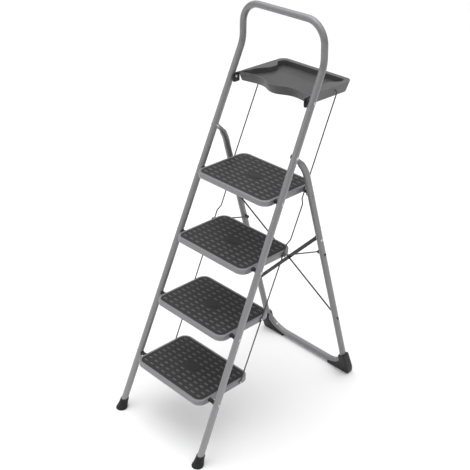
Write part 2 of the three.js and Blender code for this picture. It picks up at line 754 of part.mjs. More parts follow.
/** The flattened end of a leg: the tube drawn down to a tongue that lies against the rail. */
function legTongue(route, sign) {
  const flush = TONGUE_INNER + CLEARANCE / 2;
  const drawn = [
    [11, 1.4, 8, flush + 1.4],
    [20, 2.6, 8.5, flush + 2.6],
    [28, 4.5, 8.5, flush + 4.5],
    [38, 8, 9.2, flush + 8],
    [47, 11, 10.8, flush + 11],
    [NECK_TUBE_END, TUBE_RADIUS, TUBE_RADIUS, undefined],
    [NECK_TUBE_END + 4, TUBE_RADIUS - TUBE_WALL / 2, TUBE_RADIUS - TUBE_WALL / 2, undefined],
  ];
  const neck = skin(drawn.map((section) => neckRing(route, sign, section)));
  const { tangent } = route.atDistance(0);
  const angle = Math.atan2(tangent.z, tangent.y);
  const outline = new THREE.Shape();
  outline.absarc(0, 0, TONGUE_HALF_WIDTH, 0, Math.PI, false);
  outline.lineTo(-TONGUE_HALF_WIDTH, -TONGUE_LENGTH);
  outline.lineTo(TONGUE_HALF_WIDTH, -TONGUE_LENGTH);
  const plate = new THREE.ExtrudeGeometry(outline, {
    depth: TONGUE_THICKNESS,
    bevelEnabled: false,
    curveSegments: 8,
  });
  plate.translate(0, 0, -TONGUE_THICKNESS / 2);
  plate.rotateY(Math.PI / 2);
  plate.rotateX(angle + Math.PI);
  plate.translate(sign * (TONGUE_INNER + TONGUE_THICKNESS / 2), LEG_PIVOT_ALONG, LEG_SETBACK);
  return join([neck, plate]);
}

/** Where each piece through a leg crosses it: [side, distance up the leg, hole radius, forward]. */
function legHoles() {
  const highBrace = LEG_PIVOT_ALONG - BRACE_DROP_FROM_PIVOT;
  const both = SIDES.flatMap(({ sign }) => [
    [sign, alongLeg(PEG_HEIGHT), RIVET_RADIUS, 0],
    [sign, alongLeg(LINK_FOOT_HEIGHT), RIVET_RADIUS, 0],
  ]);
  return [
    ...both,
    [1, highBrace - BAR_OFFSET_ALONG_LEG, RIVET_RADIUS, barTabMiddle()],
    [-1, BRACE_LOW, RIVET_RADIUS, barTabMiddle()],
  ];
}

function rearFrame() {
  const route = rearRoute();
  const tube = tubeAlong(route.trimmed(NECK_TUBE_END), TUBE_RADIUS, TUBE_RADIUS - TUBE_WALL, TUBE_SIDES);
  const bent = join([tube, legTongue(route, -1), legTongue(route, 1)]);
  const reach = TUBE_RADIUS * 1.6;
  const cutters = legHoles().map(([sign, along, radius, forward]) => {
    const x = sign * legX(along);
    return holeAlongX(x - reach, x + reach, radius + CLEARANCE, along, forward);
  });
  const pivotHole = RIVET_RADIUS + CLEARANCE;
  const pivots = SIDES.map(({ sign }) => {
    const x = sign * TONGUE_INNER;
    return holeAlongX(x - reach / 2, x + reach / 2, pivotHole, LEG_PIVOT_ALONG, LEG_SETBACK);
  });
  const brace = diagonalRod(ROD_BRACE_RADIUS + CLEARANCE).translate(0, 0, ROD_BRACE_FORWARD);
  return cut(bent, [...cutters, ...pivots, brace]);
}

/** A moulded shoe that fills the corner under a bend of the rear frame. */
function rearShoe(sign) {
  const collar = legX(SHOE_HEIGHT);
  const outside = TUBE_RADIUS + SHOE_WALL;
  const inside = legX(REAR_BAR_HEIGHT) - REAR_CORNER_RADIUS;
  const floor = -SHOE_HALF_DEPTH;
  const outline = new THREE.Shape();
  outline.moveTo(SHOE_INNER_REACH, floor);
  outline.lineTo(SHOE_TOE_REACH - SHOE_TOE_RADIUS, floor);
  outline.quadraticCurveTo(SHOE_TOE_REACH, 0, SHOE_TOE_REACH, SHOE_TOE_HEIGHT);
  outline.lineTo(collar + outside, SHOE_HEIGHT);
  outline.lineTo(collar - outside, SHOE_HEIGHT - SHOE_COLLAR_SLOPE);
  outline.lineTo(collar - outside, SHOE_MOUTH_HEIGHT);
  const bendMiddle = REAR_BAR_HEIGHT + REAR_CORNER_RADIUS;
  outline.absarc(inside, bendMiddle, REAR_CORNER_RADIUS, ...SHOE_MOUTH_ANGLES, true);
  outline.lineTo(SHOE_INNER_REACH, REAR_BAR_HEIGHT - TUBE_RADIUS / 2);
  const body = new THREE.ExtrudeGeometry(outline, {
    depth: 2 * (SHOE_HALF_DEPTH - SHOE_EDGE),
    bevelThickness: SHOE_EDGE,
    bevelSize: SHOE_EDGE,
    bevelOffset: -SHOE_EDGE,
    bevelSegments: 2,
    curveSegments: 6,
  });
  body.translate(0, 0, SHOE_EDGE - SHOE_HALF_DEPTH);
  if (sign < 0) {
    body.rotateY(Math.PI);
  }
  const spread = SHOE_TOE_REACH * 2;
  const underFloor = block(
    new THREE.Vector3(-spread, -spread, -spread),
    new THREE.Vector3(spread, spread, 0),
  ).rotateX(-Math.PI / 2 - LEG_TILT);
  const socket = tubeAlong(rearRoute().trimmed(NECK_TUBE_END), TUBE_RADIUS + CLEARANCE, 0, TUBE_SIDES);
  return cut(body, [underFloor, socket]);
}

/** A pin through a leg, with a collar inside the leg; its origin is on the leg's centreline. */
function legPin(collarLength, collarRadius, tip = []) {
  const inner = TUBE_RADIUS + CLEARANCE;
  return turnedAlongX(
    [
      ...tip,
      [-inner - collarLength, collarRadius],
      [-inner, collarRadius],
      [-inner, RIVET_RADIUS],
      [inner, RIVET_RADIUS],
      [inner, RIVET_HEAD_RADIUS],
      [inner + RIVET_HEAD_THICKNESS, RIVET_HEAD_RADIUS * DOME_SHARE],
    ],
    HOLE_SIDES,
  );
}

/** The link's pin: its collar spaces the link off the leg, and its tip carries the link's eye. */
function linkPin(along) {
  const linkInset = legX(along) - LINK_X;
  const collarLength = linkInset - LINK_RADIUS - PIN_CLEARANCE - TUBE_RADIUS - CLEARANCE;
  const eyeEnd = -linkInset - LINK_RADIUS - PIN_CLEARANCE;
  return legPin(collarLength, COLLAR_RADIUS, [
    [eyeEnd - PIN_HEAD_THICKNESS, PIN_HEAD_RADIUS],
    [eyeEnd, PIN_HEAD_RADIUS],
    [eyeEnd, PIN_RADIUS],
    [-linkInset + LINK_RADIUS + PIN_CLEARANCE, PIN_RADIUS],
  ]);
}

/** The thin diagonal brace, straight from outside one leg to outside the other, at a radius. */
function diagonalRod(radius) {
  const high = LEG_PIVOT_ALONG - BRACE_DROP_FROM_PIVOT;
  const outside = TUBE_RADIUS + ROD_BRACE_OVERHANG;
  const visible = new THREE.Vector3(-legX(high) + TUBE_RADIUS + ROD_BRACE_START, high, 0);
  const low = new THREE.Vector3(legX(BRACE_LOW) + outside, BRACE_LOW, 0);
  const run = visible.clone().sub(low);
  const top = low.clone().addScaledVector(run, (low.x + legX(high) + outside) / -run.x);
  return tubeAlong(new BentRoute([top, low], []), radius, 0, HOLE_SIDES);
}

/** How far forward of the legs' plane a bar rivet stands. */
function barTabMiddle() {
  return BAR_THICKNESS - BAR_BACK + CLEARANCE * 2 + BAR_RIVET_HEAD;
}

/** The flat diagonal brace, with a tab turned forward at each end to lie against a leg. */
function braceBar() {
  const high = LEG_PIVOT_ALONG - BRACE_DROP_FROM_PIVOT - BAR_OFFSET_ALONG_LEG;
  const face = (along) => legX(along) - TUBE_RADIUS - CLEARANCE;
  const right = new THREE.Vector2(face(high), high);
  const left = new THREE.Vector2(-face(BRACE_LOW), BRACE_LOW);
  const slope = Math.atan2(right.y - left.y, right.x - left.x);
  const rise = BAR_WIDTH / 2 / Math.cos(slope);
  const strip = new THREE.Shape([
    new THREE.Vector2(left.x, left.y - rise),
    new THREE.Vector2(right.x, right.y - rise),
    new THREE.Vector2(right.x, right.y + rise),
    new THREE.Vector2(left.x, left.y + rise),
  ]);
  const bar = new THREE.ExtrudeGeometry(strip, { depth: BAR_THICKNESS, bevelEnabled: false });
  bar.translate(0, 0, -BAR_BACK);
  const tab = (x, y, inward) =>
    block(
      new THREE.Vector3(Math.min(x, x + inward * BAR_THICKNESS), y - rise, -BAR_BACK),
      new THREE.Vector3(Math.max(x, x + inward * BAR_THICKNESS), y + rise, BAR_TAB_DEPTH - BAR_BACK),
    );
  const whole = join([bar, tab(right.x, right.y, -1), tab(left.x, left.y, 1)]);
  const reach = BAR_THICKNESS * 2;
  const bore = RIVET_RADIUS + CLEARANCE;
  const holes = [right, left].map(({ x, y }) => holeAlongX(x - reach, x + reach, bore, y, barTabMiddle()));
  return cut(whole, holes);
}

/** The rivet of a bar's tab, through the leg; its origin is on the leg's centreline. */
function barRivet() {
  const inner = TUBE_RADIUS + CLEARANCE * 2 + BAR_THICKNESS;
  const reach = TUBE_RADIUS + CLEARANCE;
  const through = rivet(inner + reach, RIVET_RADIUS, [BAR_RIVET_HEAD, BAR_RIVET_THICKNESS]);
  return through.translate(-inner, 0, 0);
}

// ---- tray, drawn from its front pivot: x across, y back, z up -----------------------------------

/** The front edge's wave across a width, set back by an offset. */
function frontWave(halfWidth, offset) {
  const stretch = halfWidth / TRAY_HALF_WIDTH;
  const shape = [...TRAY_FRONT_WAVE, [TRAY_HALF_WIDTH, TRAY_FRONT_CORNER]];
  const half = shape.map(([x, y]) => new THREE.Vector2(x * stretch, y + offset));
  const mirrored = half.slice(1).reverse().map(({ x, y }) => new THREE.Vector2(-x, y));
  return new THREE.SplineCurve([...mirrored, ...half]).getPoints(TRAY_WAVE_STEPS);
}

/** The tray's outline drawn in by an inset, with its front wave and back corners. */
function trayOutline(inset, backDraft, sideDraft, frontDraft) {
  const halfWidth = TRAY_HALF_WIDTH - sideDraft - inset;
  const back = TRAY_BACK_REACH - backDraft - inset;
  const radius = TRAY_CORNER_RADIUS - inset;
  const arc = (cx, start) =>
    Array.from({ length: TRAY_CORNER_STEPS + 1 }, (_, k) => {
      const angle = start + (k * Math.PI) / 2 / TRAY_CORNER_STEPS;
      return new THREE.Vector2(cx + radius * Math.cos(angle), back - radius + radius * Math.sin(angle));
    });
  return [
    ...frontWave(halfWidth, frontDraft + inset),
    ...arc(halfWidth - radius, 0),
    ...arc(radius - halfWidth, Math.PI / 2),
  ];
}

function lifted(outline, height) {
  return outline.map(({ x, y }) => new THREE.Vector3(x, y, height));
}

/** The pocket's outline, with a shelf that bulges in at each side; grown by a margin. */
function pocketOutline(margin, frontDraft) {
  const inside = (fromSide) => TRAY_HALF_WIDTH - fromSide + margin;
  const shelf = TRAY_SHELF_CORNERS.map(([fromSide, y]) => new THREE.Vector2(inside(fromSide), y));
  const back = TRAY_BACK_REACH - TRAY_BACK_RIM + margin;
  const right = [...shelf, new THREE.Vector2(inside(TRAY_SHELF_BACK), back)];
  const left = right.map(({ x, y }) => new THREE.Vector2(-x, y)).reverse();
  const front = frontWave(inside(TRAY_SHELF_CORNERS[0][0]), TRAY_LIP - margin + frontDraft);
  return [...front, ...right, ...left];
}

/** The tray: a drafted shell with a pocket sunk in its top and open underneath. */
function trayShell() {
  const top = TRAY_PIVOT_DROP;
  const bottom = top - TRAY_HEIGHT;
  const floor = top - TRAY_POCKET_DEPTH;
  const frontDraft = (TRAY_FRONT_DRAFT * TRAY_POCKET_DEPTH) / TRAY_HEIGHT;
  const lowFront = TRAY_FRONT_DRAFT + TRAY_LIP;
  const body = skin([
    lifted(trayOutline(0, TRAY_BACK_DRAFT, TRAY_SIDE_DRAFT, TRAY_FRONT_DRAFT), bottom),
    lifted(trayOutline(0, 0, 0, 0), top - TRAY_EDGE),
    lifted(trayOutline(TRAY_EDGE, 0, 0, 0), top),
  ]);
  const hollow = skin([
    lifted(trayOutline(TRAY_WALL, TRAY_BACK_DRAFT, TRAY_SIDE_DRAFT, lowFront), bottom - 1),
    lifted(trayOutline(TRAY_WALL, 0, 0, TRAY_LIP), top - TRAY_WALL),
  ]);
  const sunk = (margin) =>
    skin([
      lifted(pocketOutline(margin, frontDraft), floor - margin),
      lifted(pocketOutline(margin, 0), top),
      lifted(pocketOutline(margin, 0), top + TRAY_WALL),
    ]);
  const hooks = SIDES.map(({ sign }) =>
    holeAlongX(
      sign * (ROD_TRAY_X - ROD_HOOK_REACH - PIN_CLEARANCE),
      sign * (TRAY_HALF_WIDTH + TRAY_WALL),
      ROD_RADIUS + PIN_CLEARANCE,
      LINK_SPAN,
      0,
    ),
  );
  const under = toSolid(hollow).subtract(toSolid(sunk(TRAY_WALL)));
  const shell = toSolid(body).subtract(under).subtract(toSolid(sunk(0)));
  return toGeometry(hooks.reduce((left, hook) => left.subtract(toSolid(hook)), shell));
}

/** The hinge block between the tray's side and the rail, notched where the folded rod passes. */
function trayBracket(sign) {
  const inner = TRAY_HALF_WIDTH + CLEARANCE;
  const outer = railInner(TRAY_PIVOT_HEIGHT + BRACKET_RISE) - CLEARANCE;
  const [front, back] = BRACKET_DEPTH;
  const outline = new THREE.Shape();
  outline.moveTo(-front + BRACKET_CORNER, -BRACKET_DROP);
  outline.lineTo(back, -BRACKET_DROP);
  outline.lineTo(back, BRACKET_RISE);
  outline.lineTo(-front + BRACKET_CORNER, BRACKET_RISE);
  outline.lineTo(-front, BRACKET_RISE - BRACKET_CORNER);
  outline.lineTo(-front, -BRACKET_DROP + BRACKET_CORNER);
  const side = new THREE.ExtrudeGeometry(outline, { depth: outer - inner, bevelEnabled: false });
  side.applyMatrix4(
    new THREE.Matrix4().makeBasis(
      new THREE.Vector3(0, 1, 0),
      new THREE.Vector3(0, 0, 1),
      new THREE.Vector3(1, 0, 0),
    ),
  );
  side.translate(sign > 0 ? inner : -outer, 0, 0);
  const spread = TRAY_HEIGHT;
  const notchInner = sign * (ROD_TRAY_X - ROD_RADIUS - PIN_CLEARANCE);
  const notchOuter = sign * (outer + spread);
  const rodNotch = block(
    new THREE.Vector3(Math.min(notchInner, notchOuter), -spread, -spread),
    new THREE.Vector3(Math.max(notchInner, notchOuter), spread, -BRACKET_ROD_NOTCH),
  );
  return cut(side, [rodNotch, holeAlongX(-outer * 2, outer * 2, RIVET_RADIUS + CLEARANCE, 0, 0)]);
}

// ---- the assembly -----------------------------------------------------------------------------

const stool = new THREE.Group();
const assembly = new THREE.Group();
assembly.position.y = -CENTRE_Y;
stool.add(assembly);

function addFrontFrame() {
  piece(assembly, "front_frame", frontFrame(), silverEnamel);
  SIDES.forEach(({ name, sign }) => {
    const foot = frontFoot();
    if (sign < 0) {
      mirrorX(foot);
    }
    piece(assembly, `front_foot_${name}`, foot, blackPlastic, sign * railX(0));
  });
}

/** Mirrors a geometry across x = 0 and turns its faces back outward. */
function mirrorX(geometry) {
  geometry.scale(-1, 1, 1);
  const position = geometry.attributes.position;
  for (let i = 0; i < position.count; i += 3) {
    const a = new THREE.Vector3().fromBufferAttribute(position, i + 1);
    const b = new THREE.Vector3().fromBufferAttribute(position, i + 2);
    position.setXYZ(i + 1, b.x, b.y, b.z);
    position.setXYZ(i + 2, a.x, a.y, a.z);
  }
  geometry.computeVertexNormals();
  return geometry;
}

function addStep(number) {
  const height = stepPivotHeight(number);
  const group = new THREE.Group();
  group.position.set(0, railY(height), height);
  assembly.add(group);
  piece(group, `step_pan_${number}`, stepPan(), silverEnamel);
  piece(group, `step_mat_${number}`, stepMat(), greyTread);
  const gap = railInner(height) - PAN_HALF_WIDTH;
  const outside = railX(height) + TUBE_RADIUS + CLEARANCE;
  const rivetStart = PAN_HALF_WIDTH - PAN_WALL - CLEARANCE;
  const bushStart = PAN_HALF_WIDTH + CLEARANCE;
  SIDES.forEach(({ name, sign }) => {
    const add = (kind, geometry, material, x, y = 0) =>
      facing(piece(group, `${kind}_${number}_${name}`, geometry, material, sign * x, y), sign);
    add("step_bush", stepBush(gap - CLEARANCE * 2), blackPlastic, bushStart);
    add("step_rivet", rivet(outside - rivetStart, RIVET_RADIUS, STEP_RIVET_HEAD), rivetSteel, rivetStart);
    add("rod_pin", rodPin(), rivetSteel, 0, LINK_SPAN);
    if (number === 1) {
      const rest = sign > 0 ? topStepRest() : mirrorX(topStepRest());
      piece(group, `top_step_rest_${name}`, rest, blackPlastic);
    }
  });
}

function addLinkage() {
  const y = railY(LINK_TOP_HEIGHT) + LINK_SPAN;
  SIDES.forEach(({ name, sign }) => {
    piece(assembly, `connecting_rod_${name}`, connectingRod(sign), zincWire, 0, y, LINK_TOP_HEIGHT);
    piece(assembly, `step_link_${name}`, stepLink(), zincWire, sign * LINK_X, y, LINK_TOP_HEIGHT);
  });
}

function addRearFrame() {
  const plane = new THREE.Group();
  plane.position.set(0, LEG_FLOOR_Y, 0);
  plane.rotation.x = Math.PI / 2 + LEG_TILT;
  assembly.add(plane);
  piece(plane, "rear_frame", rearFrame(), silverEnamel);
  SIDES.forEach(({ name, sign }) => {
    piece(plane, `rear_shoe_${name}`, rearShoe(sign), blackPlastic);
    const pegAlong = alongLeg(PEG_HEIGHT);
    const peg = legPin(PEG_LENGTH, PEG_RADIUS);
    facing(piece(plane, `leg_peg_${name}`, peg, blackPlastic, sign * legX(pegAlong), pegAlong), sign);
    const footAlong = alongLeg(LINK_FOOT_HEIGHT);
    const pin = linkPin(footAlong);
    facing(piece(plane, `link_pin_${name}`, pin, blackPlastic, sign * legX(footAlong), footAlong), sign);
  });
  piece(plane, "brace_rod", diagonalRod(ROD_BRACE_RADIUS), darkSteel, 0, 0, ROD_BRACE_FORWARD);
  piece(plane, "brace_bar", braceBar(), darkSteel);
  const high = LEG_PIVOT_ALONG - BRACE_DROP_FROM_PIVOT - BAR_OFFSET_ALONG_LEG;
  const forward = barTabMiddle();
  piece(plane, "bar_rivet_upper", barRivet(), rivetSteel, legX(high), high, forward);
  const lower = piece(plane, "bar_rivet_lower", barRivet(), rivetSteel, -legX(BRACE_LOW), BRACE_LOW, forward);
  facing(lower, -1);
}

function addLegRivets() {
  const start = TONGUE_INNER - CLEARANCE;
  const outside = railX(LEG_PIVOT_HEIGHT) + TUBE_RADIUS + CLEARANCE;
  SIDES.forEach(({ name, sign }) => {
    const through = rivet(outside - start, RIVET_RADIUS, LEG_RIVET_HEAD);
    const x = sign * start;
    facing(piece(assembly, `leg_rivet_${name}`, through, rivetSteel, x, LEG_PIVOT_Y, LEG_PIVOT_HEIGHT), sign);
  });
}

function addTray() {
  const group = new THREE.Group();
  group.position.set(0, railY(TRAY_PIVOT_HEIGHT), TRAY_PIVOT_HEIGHT);
  assembly.add(group);
  piece(group, "tray", trayShell(), trayPlastic);
  const start = TRAY_HALF_WIDTH;
  const outside = railX(TRAY_PIVOT_HEIGHT) + TUBE_RADIUS + CLEARANCE;
  SIDES.forEach(({ name, sign }) => {
    piece(group, `tray_spacer_${name}`, trayBracket(sign), blackPlastic);
    const through = rivet(outside - start, RIVET_RADIUS, TRAY_RIVET_HEAD);
    facing(piece(group, `tray_rivet_${name}`, through, rivetSteel, sign * start), sign);
  });
}

addFrontFrame();
stepNumbers().forEach(addStep);
addLinkage();
addRearFrame();
addLegRivets();
addTray();

export default stool;
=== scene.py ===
"""The finished looks of a folding step stool. Metres, +Z up, climbing towards +Y."""

import json
import logging
import math
from collections.abc import Callable, Sequence
from dataclasses import dataclass
from enum import Enum

import bmesh
import bpy
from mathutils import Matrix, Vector
from mathutils.geometry import tessellate_polygon


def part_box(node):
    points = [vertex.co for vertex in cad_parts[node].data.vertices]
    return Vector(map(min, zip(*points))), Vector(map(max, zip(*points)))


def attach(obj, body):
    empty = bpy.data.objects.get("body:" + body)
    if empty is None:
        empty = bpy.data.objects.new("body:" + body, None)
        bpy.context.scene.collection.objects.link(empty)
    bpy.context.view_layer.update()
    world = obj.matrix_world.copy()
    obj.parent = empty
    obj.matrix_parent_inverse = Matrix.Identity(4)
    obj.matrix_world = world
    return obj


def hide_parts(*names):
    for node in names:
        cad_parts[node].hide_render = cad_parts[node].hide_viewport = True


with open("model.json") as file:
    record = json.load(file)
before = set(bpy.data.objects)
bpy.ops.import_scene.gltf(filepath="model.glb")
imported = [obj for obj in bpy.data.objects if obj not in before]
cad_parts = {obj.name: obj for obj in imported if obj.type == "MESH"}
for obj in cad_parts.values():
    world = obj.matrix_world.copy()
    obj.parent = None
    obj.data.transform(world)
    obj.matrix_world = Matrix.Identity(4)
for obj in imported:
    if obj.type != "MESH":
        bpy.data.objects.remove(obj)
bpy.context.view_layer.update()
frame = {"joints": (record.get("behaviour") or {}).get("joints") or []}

LOG = logging.getLogger("step_stool")
MM = 0.001
TUBE_RADIUS = 12.5 * MM
CLEARANCE = 0.3 * MM
HEAD_HEIGHT = 2.6 * MM
RIVET_HEAD_RADIUS = 5.5 * MM
PIN_HEAD_RADIUS = 4 * MM
PIN_HEAD_HEIGHT = 1.4 * MM
PIN_RADIUS = 2.2 * MM
SHANK_RADIUS = 3 * MM
STEP_NUMBERS = (1, 2, 3, 4)
LINK_STEP = 2
STUD_ROWS = 5
ALONG_X = Vector((1.0, 0.0, 0.0))
ALONG_Y = Vector((0.0, 1.0, 0.0))
ALONG_Z = Vector((0.0, 0.0, 1.0))
Colour = tuple[float, float, float]
Pair = tuple[float, float]
Socket = bpy.types.NodeSocket
Station = tuple[Vector, Vector]


class Side(Enum):
    """The two sides of the stool, as the climber sees them."""

    LEFT = -1
    RIGHT = 1

    @property
    def label(self) -> str:
        """The word for this side in node names."""
        return self.name.lower()


class Slot(Enum):
    """The record's material slots."""

    SILVER_ENAMEL = "silver_enamel"
    ZINC_WIRE = "zinc_wire"
    RIVET_STEEL = "rivet_steel"
    BLACK_PLASTIC = "black_plastic"
    GREY_TREAD = "grey_tread"
    TRAY_PLASTIC = "tray_plastic"
    DARK_STEEL = "dark_steel"


# ---- finishes ---------------------------------------------------------------------------------


class NodeSheet:
    """The node tree of one material, with short ways to add and join its nodes."""

    def __init__(self, name: str) -> None:
        """Starts a material with a Principled shader.

        Args:
            name: the material's name.
        """
        self.material = bpy.data.materials.new(name)
        self.material.use_nodes = True
        self.tree = self.material.node_tree
        self.shader = self.tree.nodes["Principled BSDF"]
        self.place = self.add("ShaderNodeTexCoord").outputs["Object"]

    def add(self, kind: str, **values: object) -> bpy.types.Node:
        """Adds a node.

        Args:
            kind: the node's Blender type.
            **values: properties, or sockets where the name matches an input with spaces for underscores.

        Returns:
            The new node.
        """
        node = self.tree.nodes.new(kind)
        for key, value in values.items():
            socket = key.replace("_", " ")
            if socket in node.inputs:
                node.inputs[socket].default_value = value
            else:
                setattr(node, key, value)
        return node

    def link(self, source: Socket, target: Socket) -> None:
        """Joins an output to an input."""
        self.tree.links.new(source, target)

    def noise(self, scale: float, stretch: Sequence[float] = (1, 1, 1), detail: float = 4) -> Socket:
        """A noise over the piece.

        Args:
            scale: how fine the noise is, in blobs to the metre.
            stretch: how much finer it is along each axis.
            detail: how many finer layers it has.

        Returns:
            The noise's value socket.
        """
        mapping = self.add("ShaderNodeMapping", Scale=stretch)
        self.link(self.place, mapping.inputs["Vector"])
        texture = self.add("ShaderNodeTexNoise", Scale=scale, Detail=detail)
        self.link(mapping.outputs["Vector"], texture.inputs["Vector"])
        return texture.outputs["Fac"]

    def ramp(self, source: Socket, low: tuple[float, Colour], high: tuple[float, Colour]) -> Socket:
        """A two-stop colour ramp.

        Args:
            source: the value that picks the colour.
            low: place and colour of the first stop.
            high: place and colour of the second stop.

        Returns:
            The ramp's colour socket.
        """
        node = self.add("ShaderNodeValToRGB")
        for stop, (place, colour) in zip(node.color_ramp.elements, (low, high)):
            stop.position = place
            stop.color = (*colour, 1.0)
        self.link(source, node.inputs["Fac"])
        return node.outputs["Color"]

    def spread(self, source: Socket, low: float, high: float) -> Socket:
        """A value from 0.3 to 0.7 spread between two limits.

        Args:
            source: the value to spread.
            low: the result at 0.3.
            high: the result at 0.7.

        Returns:
            The spread value's socket.
        """
        node = self.add("ShaderNodeMapRange", From_Min=0.3, From_Max=0.7, To_Min=low, To_Max=high)
        self.link(source, node.inputs["Value"])
        return node.outputs["Result"]

    def bump(self, height: Socket, depth: float, after: bpy.types.Node | None = None) -> bpy.types.Node:
        """A bump from a height.

        Args:
            height: the value that lifts the surface.
            depth: the height of a full step, in metres.
            after: a bump that this one is laid over.

        Returns:
            The bump node, joined to the shader.
        """
        node = self.add("ShaderNodeBump", Strength=1.0, Distance=depth)
        self.link(height, node.inputs["Height"])
        if after is not None:
            self.link(after.outputs["Normal"], node.inputs["Normal"])
        self.link(node.outputs["Normal"], self.shader.inputs["Normal"])
        return node


@dataclass(frozen=True)
class Finish:
    """A finish: a base colour that varies a little, a roughness that varies a little, and a fine grain."""

    slot: Slot
    dark: Colour
    light: Colour
    roughness: Pair
    metallic: float = 0.0
    blotch: float = 22.0
    grain: float = 900.0
    grain_depth: float = 0.02 * MM
    stretch: tuple[float, float, float] = (1, 1, 1)
    coat: float = 0.0
    coat_roughness: float = 0.2
    specular: float = 0.5
    worn: Colour | None = None
    worn_from: float = 0.52
    worn_spread: float = 0.06
    name: str = ""

    def material(self) -> bpy.types.Material:
        """The finish as a Blender material, made once and shared."""
        name = f"{self.name or self.slot.value}_finish"
        known = bpy.data.materials.get(name)
        if known is not None:
            return known
        sheet = NodeSheet(name)
        blotches = sheet.noise(self.blotch, self.stretch)
        colour = sheet.ramp(blotches, (0.35, self.dark), (0.65, self.light))
        # Lighter sharp edges: a painted highlight on the silver enamel and the tray; the black plastic's edges
        # are lightened the same way.
        if self.worn is not None:
            colour = self.wear(sheet, colour)
        sheet.link(colour, sheet.shader.inputs["Base Color"])
        sheet.link(sheet.spread(blotches, *self.roughness), sheet.shader.inputs["Roughness"])
        sheet.shader.inputs["Metallic"].default_value = self.metallic
        sheet.shader.inputs["Coat Weight"].default_value = self.coat
        sheet.shader.inputs["Coat Roughness"].default_value = self.coat_roughness
        sheet.shader.inputs["Specular IOR Level"].default_value = self.specular
        sheet.bump(sheet.noise(self.grain, self.stretch, 2), self.grain_depth)
        return sheet.material

    def wear(self, sheet: NodeSheet, colour: Socket) -> Socket:
        """Paints the finish lighter where its edges stand out, a painted highlight on the silver enamel's and
        the tray's edges.

        Args:
            sheet: the material's nodes.
            colour: the colour before the edges are lightened.

        Returns:
            The socket of the colour with lighter edges.
        """
        pointed = sheet.add("ShaderNodeNewGeometry").outputs["Pointiness"]
        edge_full = self.worn_from + self.worn_spread
        edge = sheet.ramp(pointed, (self.worn_from, (0, 0, 0)), (edge_full, (1, 1, 1)))
        mix = sheet.add("ShaderNodeMix", data_type="RGBA")
        sheet.link(edge, mix.inputs["Factor"])
        sheet.link(colour, mix.inputs["A"])
        mix.inputs["B"].default_value = (*self.worn, 1.0)
        return mix.outputs["Result"]


# The enamel's lighter edge colour is a painted highlight on its rims and edges, where the light catches them.
SILVER = Finish(
    Slot.SILVER_ENAMEL, (0.185, 0.181, 0.188), (0.215, 0.211, 0.219), (0.32, 0.42), metallic=0.3, blotch=180,
    grain=1500, grain_depth=0.012 * MM, coat=0.2, worn=(0.30, 0.295, 0.305),
)
ZINC = Finish(
    Slot.ZINC_WIRE, (0.050, 0.050, 0.052), (0.080, 0.080, 0.083), (0.36, 0.48), metallic=0.25, blotch=240,
    grain=1400, grain_depth=0.015 * MM, stretch=(3, 3, 1), specular=0.25,
)
STEEL = Finish(
    Slot.RIVET_STEEL, (0.5, 0.5, 0.51), (0.66, 0.66, 0.67), (0.2, 0.34), metallic=0.85, blotch=300,
    grain=1600, grain_depth=0.01 * MM,
)
BLACK = Finish(
    Slot.BLACK_PLASTIC, (0.009, 0.009, 0.0095), (0.014, 0.014, 0.0145), (0.4, 0.55), blotch=60,
    grain=1300, grain_depth=0.03 * MM, specular=0.3, worn=(0.03, 0.03, 0.032),
)
TREAD = Finish(
    Slot.GREY_TREAD, (0.026, 0.026, 0.0265), (0.034, 0.034, 0.0345), (0.5, 0.62), blotch=26,
    grain=1100, grain_depth=0.04 * MM, specular=0.2,
)
# A lighter copy of the tread rubber for the oval tops: a painted highlight on the raised studs.
STUD_PAINTED_HIGHLIGHT = Finish(
    Slot.GREY_TREAD, (0.078, 0.078, 0.08), (0.1, 0.1, 0.102), (0.4, 0.52), blotch=60,
    grain=1100, grain_depth=0.04 * MM, specular=0.3, name="grey_tread_worn",
)
# The tray's lighter edge colour is a painted highlight on its rim, standing in for its lit top.
TRAY = Finish(
    Slot.TRAY_PLASTIC, (0.049, 0.049, 0.050), (0.057, 0.057, 0.058), (0.44, 0.54), blotch=16,
    grain=1200, grain_depth=0.035 * MM, specular=0.4, worn=(0.13, 0.13, 0.132), worn_from=0.502,
)
DARK = Finish(
    Slot.DARK_STEEL, (0.022, 0.022, 0.023), (0.032, 0.032, 0.034), (0.4, 0.52), metallic=0.2, blotch=120,
    grain=1500, grain_depth=0.012 * MM, specular=0.25,
)


# ---- shapes -----------------------------------------------------------------------------------


